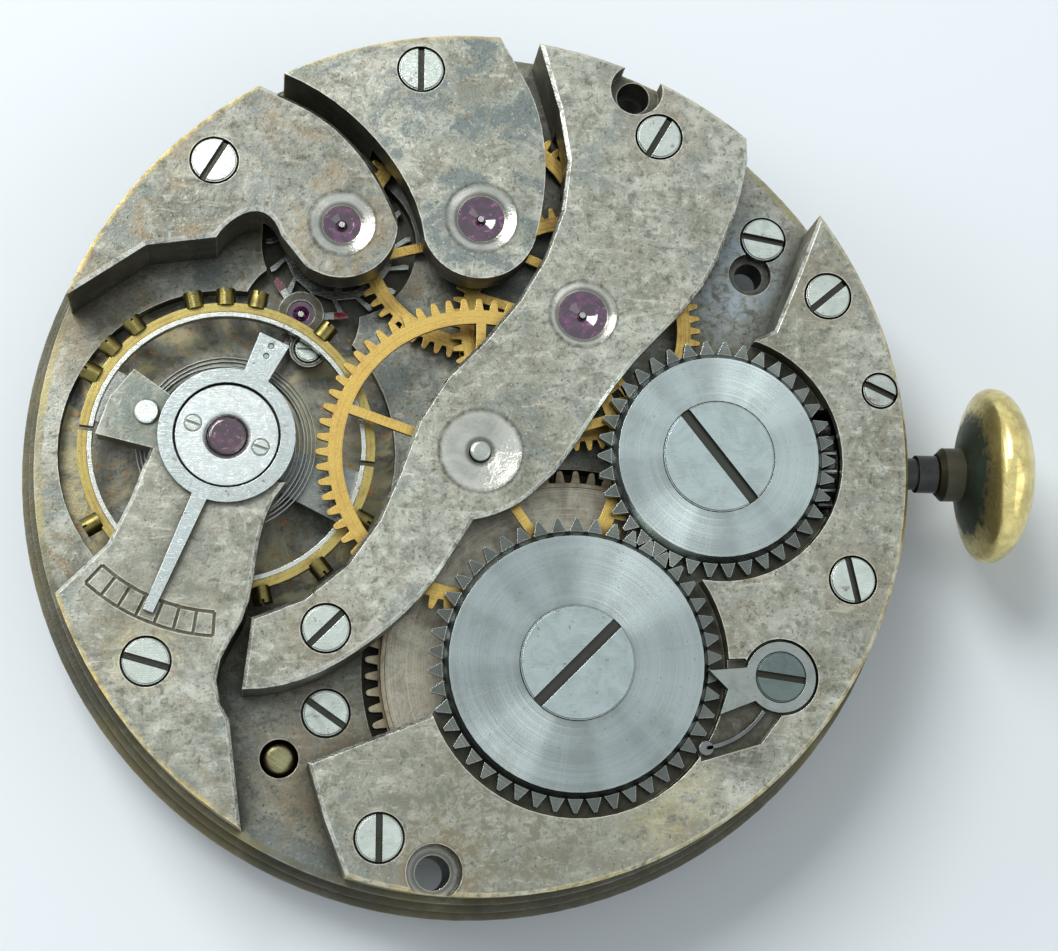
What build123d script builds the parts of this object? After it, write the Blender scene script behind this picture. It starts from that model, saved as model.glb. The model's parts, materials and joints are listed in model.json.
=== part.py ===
"""Hand-wound mechanical watch movement, built piece by piece in millimetres.

The origin is the centre of the dial seat. +Z points to the bridges, +X to the crown.
"""

from build123d import *
from math import atan2, cos, degrees, hypot, radians, sin
import os

os.makedirs("parts", exist_ok=True)

UP = (Align.CENTER, Align.CENTER, Align.MIN)

# Main plate and bridge levels
FLANGE_R = 12.15
FLANGE_T = 0.30
STEP_R = 11.95
STEP_TOP = 0.58
BODY_R = 11.75
PLATE_T = 1.30
BRIDGE_R = 11.58
BRIDGE_TOP = 3.30
BEVEL = 0.09
OVERRUN = 0.50
CURVE_STEPS = 12

# Fits and air gaps
RUN_FIT = 0.02
SCREW_FIT = 0.01
SEAT_FIT = 0.01
AIR = 0.08
WHEEL_AIR = 0.12

# Going train: centre distances, directions and tooth counts
BARREL_DISTANCE = 6.126
BARREL_ANGLE = -65.4
THIRD_DISTANCE = 4.70
THIRD_ANGLE = 54.2
FOURTH_DISTANCE = 3.78
FOURTH_ANGLE = 136.7
ESCAPE_DISTANCE = 3.75
ESCAPE_ANGLE = 184.4
BALANCE_DISTANCE = 6.644
BALANCE_ANGLE = 178.1
BARREL_TEETH = 76
CENTRE_PINION_TEETH = 12
CENTRE_TEETH = 64
THIRD_PINION_TEETH = 8
THIRD_TEETH = 60
FOURTH_PINION_TEETH = 8
FOURTH_TEETH = 60
ESCAPE_PINION_TEETH = 6
ESCAPE_TEETH = 15
ESCAPE_R = 2.0
PALLET_SPAN = 60.0
TIP_SHARE = 1.10
ROOT_SHARE = 1.35
LEAF_TIP_SHARE = 0.95
TOOTH_SHARES = (0.62, 0.38)
SHOULDER_SHARE = 0.60
ROUND_SHARES = (0.25, 0.70)
POINT_SHARES = (0.84, 0.16)
LEAF_SHARES = (0.46, 0.30)
WINDING_TIP_SHARE = 1.05
WINDING_ROOT_SHARE = 1.20

# Heights of the wheels
WHEEL_T = 0.15
CENTRE_WHEEL_Z = 2.55
THIRD_WHEEL_Z = 1.75
FOURTH_WHEEL_Z = 1.45
ESCAPE_WHEEL_Z = 0.95
PALLET_Z = 1.12
PALLET_T = 0.14
ESCAPE_FLOOR = 0.80
PALLET_RECESS_R = 1.60
ESCAPE_T = 0.14
ESCAPE_ARMS = 4
ESCAPE_ARM_W = 0.20
ESCAPE_ROOT_SHARE = 0.76
ESCAPE_RIM_SHARE = 0.64
ESCAPE_HEEL_SHARE = 0.93
ESCAPE_LEAN_SHARE = 0.30
ESCAPE_CLUB_SHARE = 0.14
ESCAPE_BASE_SHARE = 0.18
FORK_LAP = 0.12
FORK_LONG = 0.60
FORK_W = 0.44
FORK_SLOT = 0.26
FORK_SLOT_W = 0.20
LEVER_W = 0.16
GUARD_BACK = 0.12
GUARD_R = 0.05
GUARD_TOP = 1.50
PALLET_ARM_W = 0.20
STONE_BACK = 0.575
STONE_SIDE = 1.00
STONE_W = 0.16
STONE_LAP = 0.25
STONE_OUT = 0.15
UNDER_BRIDGE = 2.80
UNDER_COCK = 2.30

# Arbors and pivots
PIVOT_R = 0.08
ARBOR_R = 0.14
HUB_R = 0.42
HUB_T = 0.12
CENTRE_ARBOR_R = 0.45
CENTRE_PIVOT_R = 0.28
CENTRE_PIVOT_RISE = 0.05
CENTRE_PIVOT_ROUND = 0.10
CENTRE_POST_R = 0.35
CENTRE_POST_LOW = -1.55
CENTRE_SEAT_R = 0.38
CENTRE_HUB_R = 0.72
CENTRE_RECESS_Z = 0.70
CENTRE_RECESS_R = 1.10
CENTRE_ROOM_R = 4.50
CENTRE_ARM_TURN = 17.0
THIRD_ARM_TURN = 20.0
FOURTH_ARM_TURN = 50.0
SECONDS_PIVOT_DROP = 0.90
SECONDS_PIVOT_R = 0.10
ARM_COUNT = 5
ARM_W = 0.26
RIM_W = 0.38
SEAT_R = 0.22
END_SHAKE = 0.02
CENTRE_LEAVES = (0.75, 1.85)
THIRD_LEAVES = (2.10, 2.74)
FOURTH_LEAVES = (1.66, 2.20)
ESCAPE_LEAVES = (1.30, 1.75)

# Barrel
BARREL_FLOOR = 0.57
BARREL_LIFT = 0.05
BARREL_WALL_R = 5.05
BARREL_BORE_R = 4.86
BARREL_LID_R = 4.93
BARREL_BASE_T = 0.15
BARREL_LID_T = 0.16
BARREL_TOP = 1.82
BARREL_TEETH_LOW = 1.12
BARREL_TEETH_TOP = 1.55
BARREL_ARBOR_R = 0.55
BARREL_CORE_R = 0.95
BARREL_SQUARE = 0.76
BARREL_BRIDGE_Z = 2.10
SPRING_T = 0.12
SPRING_TURNS = 12
SPRING_AIR = 0.06

# Winding wheels
CROWN_WHEEL_DISTANCE = 6.39
CROWN_WHEEL_TEETH = 38
RATCHET_TEETH = 46
WINDING_TEETH = 16
WINDING_WHEEL_LOW = 2.78
WINDING_TEETH_TOP = 3.05
WINDING_WHEEL_TOP = 3.30
WINDING_RECESS_Z = 2.72
WINDING_RECESS_AIR = 0.14
RIM_BEVEL = 0.16
WINDING_SCREW_R = 1.50
WINDING_HEAD_T = 0.26
WINDING_HEAD_RISE = 0.04
RATCHET_HEAD_RISE = 0.10
CROWN_CORE_R = 1.18
CORE_SHANK_R = 0.35
CORE_SCREW_END = 2.62
RATCHET_SHANK_R = 0.24
WIDE_SLOT_W = 0.30
CROWN_SLOT_TURN = -52.0
RATCHET_SLOT_TURN = 45.0
CLICK_SLOT_TURN = -8.0
LEVER_SLOT_TURN = -25.0
RATCHET_SEAT_R = 3.30
CROWN_SEAT_R = 2.95

# Click
CLICK_X = 7.94
CLICK_Y = -5.88
CLICK_R = 0.93
CLICK_Z = 3.08
CLICK_RECESS_Z = 3.05
CLICK_SCREW_R = 0.66
CLICK_BEAK_R = 1.90
CLICK_BEAK_ANGLES = (175.4, 211.2)
CLICK_NECK_ANGLES = (165.0, 222.0)
CLICK_NOTCH_R = 1.45
CLICK_WEB_T = 0.09
CLICK_SHANK_R = 0.28
CLICK_SPRING_T = 0.12
CLICK_SPRING_H = 0.14
CLICK_SPRING_FOOT_R = 0.20

# Stem, crown and keyless works
STEM_Z = 1.55
STEM_R = 0.44
PILOT_R = 0.28
PILOT_X = 4.90
SQUARE_X = 6.00
SQUARE_W = 0.62
SQUARE_END_X = 9.00
CLUTCH_X = 6.25
CLUTCH_BODY_X = 6.45
CLUTCH_END_X = 9.12
CLUTCH_R = 0.90
CLUTCH_GROOVE_X = 7.60
CLUTCH_GROOVE_W = 0.45
CLUTCH_GROOVE_R = 0.60
DOG_T = 0.14
DOG_W = 0.22
DOG_LONG = 0.24
DOG_CENTRE_R = 0.66
DOG_COUNT = 6
DOG_GAP = 0.02
FACE_TOOTH_COUNT = 14
FACE_TOOTH_W = 0.18
FACE_TOOTH_LONG = 0.26
WINDING_PINION_X = 9.14
WINDING_PINION_T = 0.70
WINDING_TOOTH_X = 9.30
WINDING_TOOTH_T = 0.40
WINDING_HUB_R = 0.92
WINDING_PITCH_R = 1.26
WINDING_TOOTH_TIP = 0.12
WINDING_TOOTH_ROOT = 0.14
STEM_GROOVE_X = 10.36
STEM_TRAVEL = 0.50
STEM_GROOVE_W = 0.44
STEM_GROOVE_R = 0.30
STEM_COLLAR_X = 12.25
STEM_COLLAR_R = 0.52
STEM_THREAD_X = 12.80
STEM_THREAD_R = 0.35
STEM_END_X = 14.60
SLOT_AIR = 0.10
CROWN_NECK_X = 12.84
CROWN_NECK_R = 0.74
CROWN_NECK_ROUND = 0.16
CROWN_FACE_X = 13.50
CROWN_SHOULDER_X = 13.93
CROWN_SHOULDER_R = 2.00
CROWN_CREST_X = 14.35
CROWN_R = 2.43
CROWN_END_X = 15.42
KEYLESS_FLOOR = 0.90
COVER_T = 0.10
COVER_HEAD_T = 0.05
COVER_SHANK_R = 0.14
COVER_SCREW_TOP = 0.60
LEVER_LOW = 0.14
LEVER_TOP = 0.45
LEVER_X = 10.84
LEVER_Y = 1.92
LEVER_EYE_R = 0.42
LEVER_ARM_W = 0.36
LEVER_SHANK_R = 0.20
LEVER_SCREW_R = 0.45
LEVER_PIN_R = 0.13
LEVER_PIN_TOP = 1.18
YOKE_LOW = 0.50
YOKE_TOP = 0.85
YOKE_X = 8.20
YOKE_Y = 3.05
YOKE_EYE_R = 0.55
YOKE_PIN_R = 0.25
YOKE_ARM_W = 0.45
YOKE_NIB_W = 0.22
YOKE_NIB_Y = -0.30
YOKE_NECK_Y = 0.70
YOKE_SPRING_T = 0.12
YOKE_SPRING_H = 0.24
YOKE_SPRING_FOOT_R = 0.25

# Motion works on the dial side
MOTION_DISTANCE = 2.30
MINUTE_ANGLE = 28.6
CANNON_TEETH = 12
MINUTE_TEETH = 36
MINUTE_PINION_TEETH = 10
HOUR_TEETH = 40
SETTING_TEETH = 20
SETTING_X = 4.70
SETTING_Y = 1.00
MOTION_FLOOR = 0.42
MINUTE_WHEEL_Z = 0.27
MINUTE_WHEEL_T = 0.13
MINUTE_PINION_Z = 0.05
HOUR_WHEEL_Z = 0.06
HOUR_WHEEL_T = 0.14
SETTING_LOW = 0.30
SETTING_TOP = 0.82
POST_R = 0.20
SETTING_POST_R = 0.25
POST_END_Z = 0.04
CANNON_R = 0.50
CANNON_LOW = -1.30
CANNON_SEAT = 0.30
CANNON_SEAT_R = 0.46
CANNON_LEAF_Z = 0.22
CANNON_TOP = 0.40
HOUR_PIPE_R = 0.75
HOUR_PIPE_LOW = -0.75

# Balance, hairspring and regulator
BALANCE_RECESS_R = 4.50
BALANCE_R = 3.93
BALANCE_INNER_R = 3.56
BALANCE_STEEL_R = 3.68
BALANCE_LOW = 1.79
BALANCE_TOP = 2.09
BALANCE_ARM_Z = 1.88
BALANCE_ARM_T = 0.12
BALANCE_ARM_ANGLE = -22.0
BALANCE_ARM_W = 0.90
BALANCE_ARM_END_W = 1.50
BALANCE_HUB_R = 0.75
RIM_CUT_W = 0.14
RIM_CUT_TURN = 16.0
BALANCE_SCREW_R = 0.08
BALANCE_SCREW_HEAD_R = 0.26
BALANCE_SCREW_HEAD_T = 0.46
BALANCE_SCREW_SINK = 0.06
BALANCE_SCREW_ANGLES = (52, 80, 92, 104, 128, 140, 152, 212, 232, 260, 272, 284, 308, 332)
STAFF_R = 0.20
STAFF_SEAT_R = 0.40
STAFF_PIVOT_R = 0.06
STAFF_FLANGE_R = 0.60
STAFF_FLANGE_T = 0.10
BALANCE_SLOT_W = 0.07
BALANCE_SLOT_DEPTH = 0.10
ROLLER_R = 0.90
ROLLER_Z = 1.42
ROLLER_T = 0.13
IMPULSE_R = 0.07
IMPULSE_RADIUS = 0.72
CONTACT_GAP = 0.03
COLLET_R = 0.50
COLLET_Z = 2.11
COLLET_TOP = 2.33
HAIRSPRING_Z = 2.15
HAIRSPRING_H = 0.15
HAIRSPRING_T = 0.04
HAIRSPRING_IN_R = 0.50
HAIRSPRING_OUT_R = 2.40
HAIRSPRING_TURNS = 12
HAIRSPRING_END_ANGLE = -130.0
OVERCOIL_Z = 2.38
OVERCOIL_H = 0.12
OVERCOIL_R = 2.03
OVERCOIL_START_ANGLE = -30.0
BALANCE_COCK_Z = 2.62
COCK_BOSS_R = 1.70
STUD_ANGLE = 164.0
STUD_RADIUS = 2.16
STUD_R = 0.22
STUD_HEAD_R = 0.32
STUD_HEAD_T = 0.12
STUD_LOW = 2.36
CAP_PLATE_R = 1.37
CAP_PLATE_T = 0.14
CAP_BORE_R = 0.50
CAP_SINK_R = 0.64
CAP_JEWEL_R = 0.39
CAP_JEWEL_ROUND = 0.10
CAP_DOME_R = 0.49
CAP_JEWEL_TOP = 3.42
CAP_SCREW_RADIUS = 0.93
CAP_SCREW_ANGLE = -19.0
CAP_SCREW_R = 0.17
UPPER_SCREW_R = 0.23
CAP_SCREW_SHANK_R = 0.09
CAP_SCREW_LONG = 0.34
CAP_SCREW_HEAD_T = 0.08
CAP_SCREW_GRIP = 0.30
LOWER_SCREW_RADIUS = 0.68
REGULATOR_T = 0.18
REGULATOR_LIFT = 0.02
REGULATOR_R = 1.78
REGULATOR_BORE_R = 1.40
REGULATOR_TAIL_ANGLE = -112.0
REGULATOR_TAIL_R = 5.00
REGULATOR_TAIL_W = 0.42
REGULATOR_TAIL_END_W = 0.26
CURB_ANGLE = 65.5
CURB_BLOCK_R = 2.85
CURB_BLOCK_W = 0.84
CURB_NECK_W = 0.62
CURB_PIN_R = 0.06
CURB_PIN_GAP = 0.17
CURB_PIN_LOW = 2.34
CURB_PIT_R = 0.09
CURB_PIT = 0.06
CURB_PIT_RADII = (2.34, 2.64)
LOWER_CAP_R = 0.95
LOWER_CAP_T = 0.16
LOWER_CAP_JEWEL_T = 0.20
INDEX_TICKS = 8
INDEX_STEP_ANGLE = 5.6
INDEX_IN_R = 4.62
INDEX_OUT_R = 5.24
INDEX_W = 0.09
INDEX_DEPTH = 0.06
ROLLER_BITE_R = 0.16
RISER_ANGLE = 2.0

# Jewels
JEWEL_T = 0.28
JEWEL_DOWN = 0.13
JEWEL_CUP = 0.10
JEWEL_CUP_SHARE = 0.62
PLATE_JEWEL_DOWN = 0.05
LOWER_JEWEL_DOWN = 0.10
PIVOT_HOLE_R = 0.25
BALANCE_JEWEL_RISE = 0.18
THIRD_JEWEL_R = 0.65
THIRD_SINK_R = 0.90
FOURTH_JEWEL_R = 0.62
FOURTH_SINK_R = 0.95
ESCAPE_JEWEL_R = 0.50
ESCAPE_SINK_R = 0.88
PLATE_JEWEL_R = 0.55
PALLET_JEWEL_R = 0.36
BALANCE_JEWEL_R = 0.42
BALANCE_JEWEL_T = 0.18
CENTRE_SINK_R = 1.10
CENTRE_SINK = 0.12

# Screws
SCREW_HEAD_R = 0.60
SCREW_HEAD_T = 0.34
SCREW_RISE = 0.03
SCREW_SHANK_R = 0.30
SCREW_END_Z = 0.50
SCREW_WALL = 0.06
SLOT_W = 0.18
SLOT_DEPTH = 0.14
SCREW_EDGE = 0.04
SMALL_SCREW_R = 0.34
SMALL_SCREW_T = 0.16
SMALL_SHANK_R = 0.17
SMALL_SCREW_LONG = 0.50
SMALL_SLOT_W = 0.07
SMALL_SLOT_DEPTH = 0.05
CASE_SCREW_HOLE_R = 0.45
CASE_SINK_R = 0.72
CASE_SINK = 0.70
FOOT_SCREW_TOP = 1.36
FOOT_HOLE_R = 0.40
FOOT_SINK_R = 0.60
FOOT_SINK = 0.30
STUD_PIN_R = 0.50
STUD_PIN_LOW = 0.35
STUD_PIN_TOP = 1.16
STUD_PIN_ROUND = 0.25

# Pallet cock
PALLET_COCK_LOW = 1.36
PALLET_COCK_TOP = 1.60
PALLET_POST_R = 0.30
PALLET_JEWEL_DOWN = 0.04
PALLET_COCK_END_R = 0.62
PALLET_COCK_FOOT_R = 0.50
PALLET_COCK_NECK_W = 0.80
PALLET_FOOT_DX = 0.21
PALLET_FOOT_DY = -0.99

# Places as shares of the bridge radius: x, y and, for a screw, the turn of its slot
BARREL_BRIDGE_SCREW_SHARES = ((-0.220, -0.872, 90), (0.818, 0.391, 40), (0.859, -0.282, -78))
TRAIN_BRIDGE_SCREW_SHARES = ((0.420, 0.768, 60), (-0.344, -0.412, 45))
FOURTH_COCK_SCREW_SHARES = ((-0.144, 0.911, 90),)
ESCAPE_COCK_SCREW_SHARES = ((-0.619, 0.668, 60),)
BALANCE_COCK_SCREW_SHARES = ((-0.737, -0.491, -15),)
FOOT_SCREW_SHARES = ((0.704, 0.577, -10), (-0.336, -0.585, -35))
CASE_HOLE_SHARES = ((-0.098, -0.946), (0.368, 0.883))
FOOT_HOLE_SHARE = (0.670, 0.488)
STUD_PIN_SHARE = (-0.440, -0.689)

# Outlines as shares of the bridge radius
TRAIN_RIM_ANGLES = (82.1, 50.8)
TRAIN_RIGHT_SHARES = (
    (0.633, 0.719), (0.599, 0.582), (0.513, 0.396), (0.369, 0.235), (0.262, 0.090), (0.170, -0.046),
    (0.113, -0.100),
)
TRAIN_HUB_SHARES = ((0.044, -0.141), (-0.015, -0.158))
TRAIN_LOWER_SHARES = (
    (-0.080, -0.263), (-0.137, -0.341), (-0.219, -0.419), (-0.377, -0.519), (-0.526, -0.549),
)
TRAIN_LEFT_SHARES = (
    (-0.508, -0.389), (-0.381, -0.334), (-0.273, -0.230), (-0.190, -0.066), (-0.105, 0.139), (-0.010, 0.243),
    (0.136, 0.443), (0.203, 0.677), (0.184, 0.824),
)
FOURTH_RIM_ANGLES = (87.6, 117.6)
FOURTH_LEFT_SHARES = ((-0.356, 0.830), (-0.227, 0.709), (-0.156, 0.590), (-0.131, 0.494))
FOURTH_END_SHARES = ((-0.008, 0.407), (0.125, 0.503))
FOURTH_RIGHT_SHARES = ((0.148, 0.640), (0.137, 0.798), (0.094, 0.907))
ESCAPE_RIM_ANGLES = (121.2, 160.2)
ESCAPE_BITE_SHARES = ((-0.610, 0.486), (-0.590, 0.513), (-0.530, 0.551), (-0.462, 0.496))
ESCAPE_INNER_SHARE = (-0.767, 0.462)
ESCAPE_END_SHARES = ((-0.405, 0.425), (-0.275, 0.408), (-0.196, 0.545))
ESCAPE_RIGHT_SHARES = ((-0.225, 0.611), (-0.308, 0.730), (-0.425, 0.815))
BALANCE_RIM_ANGLES = (-160.0, -121.4)
BALANCE_RIGHT_SHARES = (
    (-0.552, -0.618), (-0.557, -0.446), (-0.536, -0.410), (-0.498, -0.230), (-0.439, -0.081),
)
BALANCE_LEFT_SHARES = ((-0.736, 0.009), (-0.783, -0.129), (-0.830, -0.230))
BALANCE_NOSE_SHARES = (
    (-0.640, 0.060), (-0.706, 0.114), (-0.784, 0.169), (-0.836, 0.104), (-0.865, 0.018), (-0.728, -0.014),
    (-0.640, 0.009),
)
BARREL_RIM_ANGLES = (-106.9, 36.3)
BARREL_INNER_SHARES = ((0.752, 0.453), (0.689, 0.305), (0.646, 0.284))
BARREL_LEFT_SHARES = ((-0.111, -0.602), (-0.378, -0.708), (-0.339, -0.834))
KEYLESS_SHARES = (
    (0.485, -0.062), (0.976, -0.052), (0.985, 0.165), (0.900, 0.325), (0.560, 0.325), (0.485, 0.200),
)
COVER_SHARES = ((0.560, 0.050), (0.930, -0.045), (0.975, 0.165), (0.880, 0.372), (0.560, 0.372))
COVER_SCREW_SHARES = ((0.600, 0.348), (0.770, 0.348))
CLICK_SPRING_SHARES = ((0.514, -0.669), (0.592, -0.639), (0.648, -0.583))
YOKE_SPRING_SHARES = ((0.566, 0.281), (0.600, 0.205), (0.620, 0.130))
CLICK_POCKET_SHARES = ((0.500, -0.471), (0.604, -0.466), (0.690, -0.590), (0.636, -0.660), (0.498, -0.700))


def place(distance, angle, start=(0, 0)):
    """The point at a distance and an angle in degrees from a start."""
    return (start[0] + distance * cos(radians(angle)), start[1] + distance * sin(radians(angle)))


def gap(a, b):
    """The distance between two points."""
    return hypot(b[0] - a[0], b[1] - a[1])


def heading(a, b):
    """The direction from one point to another, in degrees."""
    return degrees(atan2(b[1] - a[1], b[0] - a[0]))


def scaled(shares):
    """Points from shares of the bridge radius."""
    return [(x * BRIDGE_R, y * BRIDGE_R) for x, y, *rest in shares]


def rim_arc(angles):
    """Three points along the bridge radius, between two angles."""
    start, end = angles
    return [place(BRIDGE_R, a) for a in (start, (start + end) / 2, end)]


def meshed_turn(teeth, line, other_teeth, other_turn):
    """The turn that puts a gear's spaces on the other's teeth. The line points from the other to this one."""
    ahead = (line - other_turn) * other_teeth / 360
    return line + 180 - (1 - 2 * ahead) * 180 / teeth


def pitch_radii(distance, teeth, other_teeth):
    """The pitch radii of two gears at a centre distance, and their module."""
    module = 2 * distance / (teeth + other_teeth)
    return module * teeth / 2, module * other_teeth / 2, module


def gear_points(teeth, root, tip, root_share, tip_share, turn):
    """A closed outline with round-tipped teeth. Shares are of the angle from tooth to tooth."""
    step = 360 / teeth
    half_root, half_tip = root_share * step / 2, tip_share * step / 2
    shoulder = tip - min(tip * radians(half_tip), (tip - root) * SHOULDER_SHARE)
    drop_share, turn_share = ROUND_SHARES
    middle = tip - (tip - shoulder) * drop_share
    half_middle = half_tip * turn_share
    profile = (
        (root, -half_root), (shoulder, -half_tip), (middle, -half_middle), (tip, 0),
        (middle, half_middle), (shoulder, half_tip), (root, half_root),
    )
    return [place(r, turn + tooth * step + a) for tooth in range(teeth) for r, a in profile]


def pointed_points(teeth, root, tip, turn):
    """A closed outline with pointed teeth."""
    step = 360 / teeth
    half_root, half_tip = [share * step / 2 for share in POINT_SHARES]
    profile = ((root, -half_root), (tip, -half_tip), (tip, half_tip), (root, half_root))
    return [place(r, turn + tooth * step + a) for tooth in range(teeth) for r, a in profile]


def prism(points, low, high, at=(0, 0), mode=Mode.ADD, plane=Plane.XY):
    """A closed outline drawn about a point, from one level to another."""
    with BuildSketch(plane.offset(low)) as outline:
        with BuildLine():
            Polyline(*[(x + at[0], y + at[1]) for x, y in points], close=True)
        make_face()
    extrude(outline.sketch, amount=high - low, mode=mode)


def slab(runs, low, high, mode=Mode.ADD):
    """A closed outline of runs of points, where two make a line, three an arc and more a curve."""
    with BuildSketch(Plane.XY.offset(low)) as outline:
        with BuildLine():
            for run, following in zip(runs, runs[1:] + runs[:1]):
                if len(run) > 3:
                    curve = Spline(*run, mode=Mode.PRIVATE)
                    Polyline(*[curve @ (step / CURVE_STEPS) for step in range(CURVE_STEPS + 1)])
                else:
                    {2: Line, 3: ThreePointArc}[len(run)](*run)
                if gap(run[-1], following[0]):
                    Line(run[-1], following[0])
        make_face()
    extrude(outline.sketch, amount=high - low, mode=mode)


def disc(radius, low, high, at=(0, 0), mode=Mode.ADD):
    """A cylinder about a point, from one level to another."""
    with Locations((at[0], at[1], low)):
        Cylinder(radius, high - low, align=UP, mode=mode)


def hole_through(radius, low, high, at=(0, 0)):
    """Cuts a hole from below one level to above another."""
    disc(radius, low - OVERRUN, high + OVERRUN, at, Mode.SUBTRACT)


def stem_disc(radius, start, end, mode=Mode.ADD):
    """A cylinder along the stem's axis."""
    with Locations(Location((start, 0, STEM_Z), (0, 90, 0))):
        Cylinder(radius, end - start, align=UP, mode=mode)


def block(x_low, x_high, y_low, y_high, low, high, mode=Mode.ADD):
    """A box from corner to corner."""
    with Locations((x_low, y_low, low)):
        Box(x_high - x_low, y_high - y_low, high - low, align=(Align.MIN,) * 3, mode=mode)


def arm_windows(rim, hub, count, width, low, high, at, turn):
    """Cuts the windows between a wheel's arms."""
    with BuildSketch(Plane.XY.offset(low - OVERRUN)) as windows:
        with Locations(at):
            Circle(rim)
            Circle(hub, mode=Mode.SUBTRACT)
        with Locations(Location((at[0], at[1], 0), (0, 0, turn))):
            with PolarLocations(0, count):
                Rectangle(rim * 2, width, align=(Align.MIN, Align.CENTER), mode=Mode.SUBTRACT)
    extrude(windows.sketch, amount=high - low + 2 * OVERRUN, mode=Mode.SUBTRACT)


def screw(at, top, head_r, head_t, shank_r, end, slot_turn, slot_w=SLOT_W, slot_depth=SLOT_DEPTH):
    """A slotted screw with its head's top at a level and its point at another."""
    disc(head_r - SCREW_EDGE, top - SCREW_EDGE, top, at)
    disc(head_r, top - head_t, top - SCREW_EDGE, at)
    disc(shank_r, end, top - head_t, at)
    with Locations(Location((at[0], at[1], top - slot_depth), (0, 0, slot_turn))):
        Box(3 * head_r, slot_w, slot_depth + OVERRUN, align=UP, mode=Mode.SUBTRACT)


def screw_hole(at, top, head_r, head_t, shank_r, end):
    """The sunk hole for such a screw."""
    disc(head_r + SCREW_WALL, top - head_t, BRIDGE_TOP + OVERRUN, at, Mode.SUBTRACT)
    disc(shank_r + SCREW_FIT, end - SCREW_FIT, top, at, Mode.SUBTRACT)


def jewel_seat(at, jewel_r, sink_r, low):
    """The polished sink and the hole that hold a pressed jewel below a bridge's top."""
    disc(jewel_r + SEAT_FIT, low, BRIDGE_TOP, at, Mode.SUBTRACT)
    with Locations((at[0], at[1], BRIDGE_TOP - JEWEL_DOWN)):
        Cone(jewel_r, sink_r, JEWEL_DOWN, align=UP, mode=Mode.SUBTRACT)


def jewel(at, radius, low, high, bore, cup=JEWEL_CUP):
    """A ring jewel with an oil cup on its upper face."""
    disc(radius, low, high, at)
    hole_through(bore, low, high, at)
    with Locations((at[0], at[1], high - cup)):
        Cone(bore, radius * JEWEL_CUP_SHARE, cup, align=UP, mode=Mode.SUBTRACT)


def spiral_arcs(inner, outer, turns, at, turn, side):
    """One side of a spiral strip as half-turn arcs about two centres half a step apart."""
    step = (outer - inner) / (2 * turns)
    arcs = []
    for half in range(2 * turns):
        centre = place(step * (half % 2), turn, at)
        arcs.append([place(inner + half * step + side, turn + 180 * half + a, centre) for a in (0, 90, 180)])
    return arcs


def spiral_strip(inner, outer, turns, thick, low, high, at, turn):
    """One unbroken flat strip wound from the inner radius to the outer."""
    sides = [spiral_arcs(inner, outer, turns, at, turn, side) for side in (-thick / 2, thick / 2)]
    with BuildSketch(Plane.XY.offset(low)) as strip:
        with BuildLine():
            for arc in sides[0] + sides[1]:
                ThreePointArc(*arc)
            Line(sides[0][0][0], sides[1][0][0])
            Line(sides[0][-1][2], sides[1][-1][2])
        make_face()
    extrude(strip.sketch, amount=high - low)


def least_gap(inner, outer, turns, thick):
    """The least distance from one turn of a spiral strip to the next, measured on its points."""
    outside = [arc[1] for arc in spiral_arcs(inner, outer, turns, CENTRE, 0, thick / 2)]
    inside = [arc[1] for arc in spiral_arcs(inner, outer, turns, CENTRE, 0, -thick / 2)]
    return min(gap(a, b) for a, b in zip(outside, inside[2:]))


def dial_screw(at, low, head_r, head_t, shank_r, top):
    """A small slotted screw with its head on the dial side."""
    disc(head_r, low, low + head_t, at)
    disc(shank_r, low + head_t, top, at)
    with Locations((at[0], at[1], low - OVERRUN)):
        Box(3 * head_r, shank_r / 2, OVERRUN + head_t / 2, align=UP, mode=Mode.SUBTRACT)


def strip(points, thick, low, high):
    """A thin spring along an arc of three points."""
    across = radians(heading(points[0], points[2]) + 90)
    shift = (thick / 2 * cos(across), thick / 2 * sin(across))
    sides = [[(x + s * shift[0], y + s * shift[1]) for x, y in points] for s in (-1, 1)]
    slab([sides[0], [sides[0][-1], sides[1][-1]], sides[1][::-1]], low, high)


def bar(start, end, width):
    """The corners of a bar along +X."""
    return [(start, -width / 2), (end, -width / 2), (end, width / 2), (start, width / 2)]


def turned(points, at, angle):
    """Points drawn along +X, turned by an angle about a place."""
    return [place(hypot(x, y), angle + degrees(atan2(y, x)), at) for x, y in points]


def write(piece, name):
    """Labels a finished piece and writes it under its name."""
    piece.part.label = name
    export_step(piece.part, f"parts/{name}.step")
    print(name, round(piece.part.volume, 3))


# Places of the wheels
CENTRE = (0, 0)
BARREL = place(BARREL_DISTANCE, BARREL_ANGLE)
THIRD = place(THIRD_DISTANCE, THIRD_ANGLE)
FOURTH = place(FOURTH_DISTANCE, FOURTH_ANGLE, THIRD)
ESCAPE = place(ESCAPE_DISTANCE, ESCAPE_ANGLE, FOURTH)
BALANCE = place(BALANCE_DISTANCE, BALANCE_ANGLE)
PALLET_LINE = heading(ESCAPE, BALANCE)
PALLET = place(ESCAPE_R / cos(radians(PALLET_SPAN / 2)), PALLET_LINE, ESCAPE)
CROWN_WHEEL = (CROWN_WHEEL_DISTANCE, 0)
CLICK = (CLICK_X, CLICK_Y)
LEVER = (LEVER_X, LEVER_Y)
YOKE = (YOKE_X, YOKE_Y)
MINUTE = place(MOTION_DISTANCE, MINUTE_ANGLE)
SETTING = (SETTING_X, SETTING_Y)
STUD = place(STUD_RADIUS, STUD_ANGLE, BALANCE)
PALLET_FOOT = (PALLET[0] + PALLET_FOOT_DX, PALLET[1] + PALLET_FOOT_DY)
FOOT_HOLE = (FOOT_HOLE_SHARE[0] * BRIDGE_R, FOOT_HOLE_SHARE[1] * BRIDGE_R)
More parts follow.
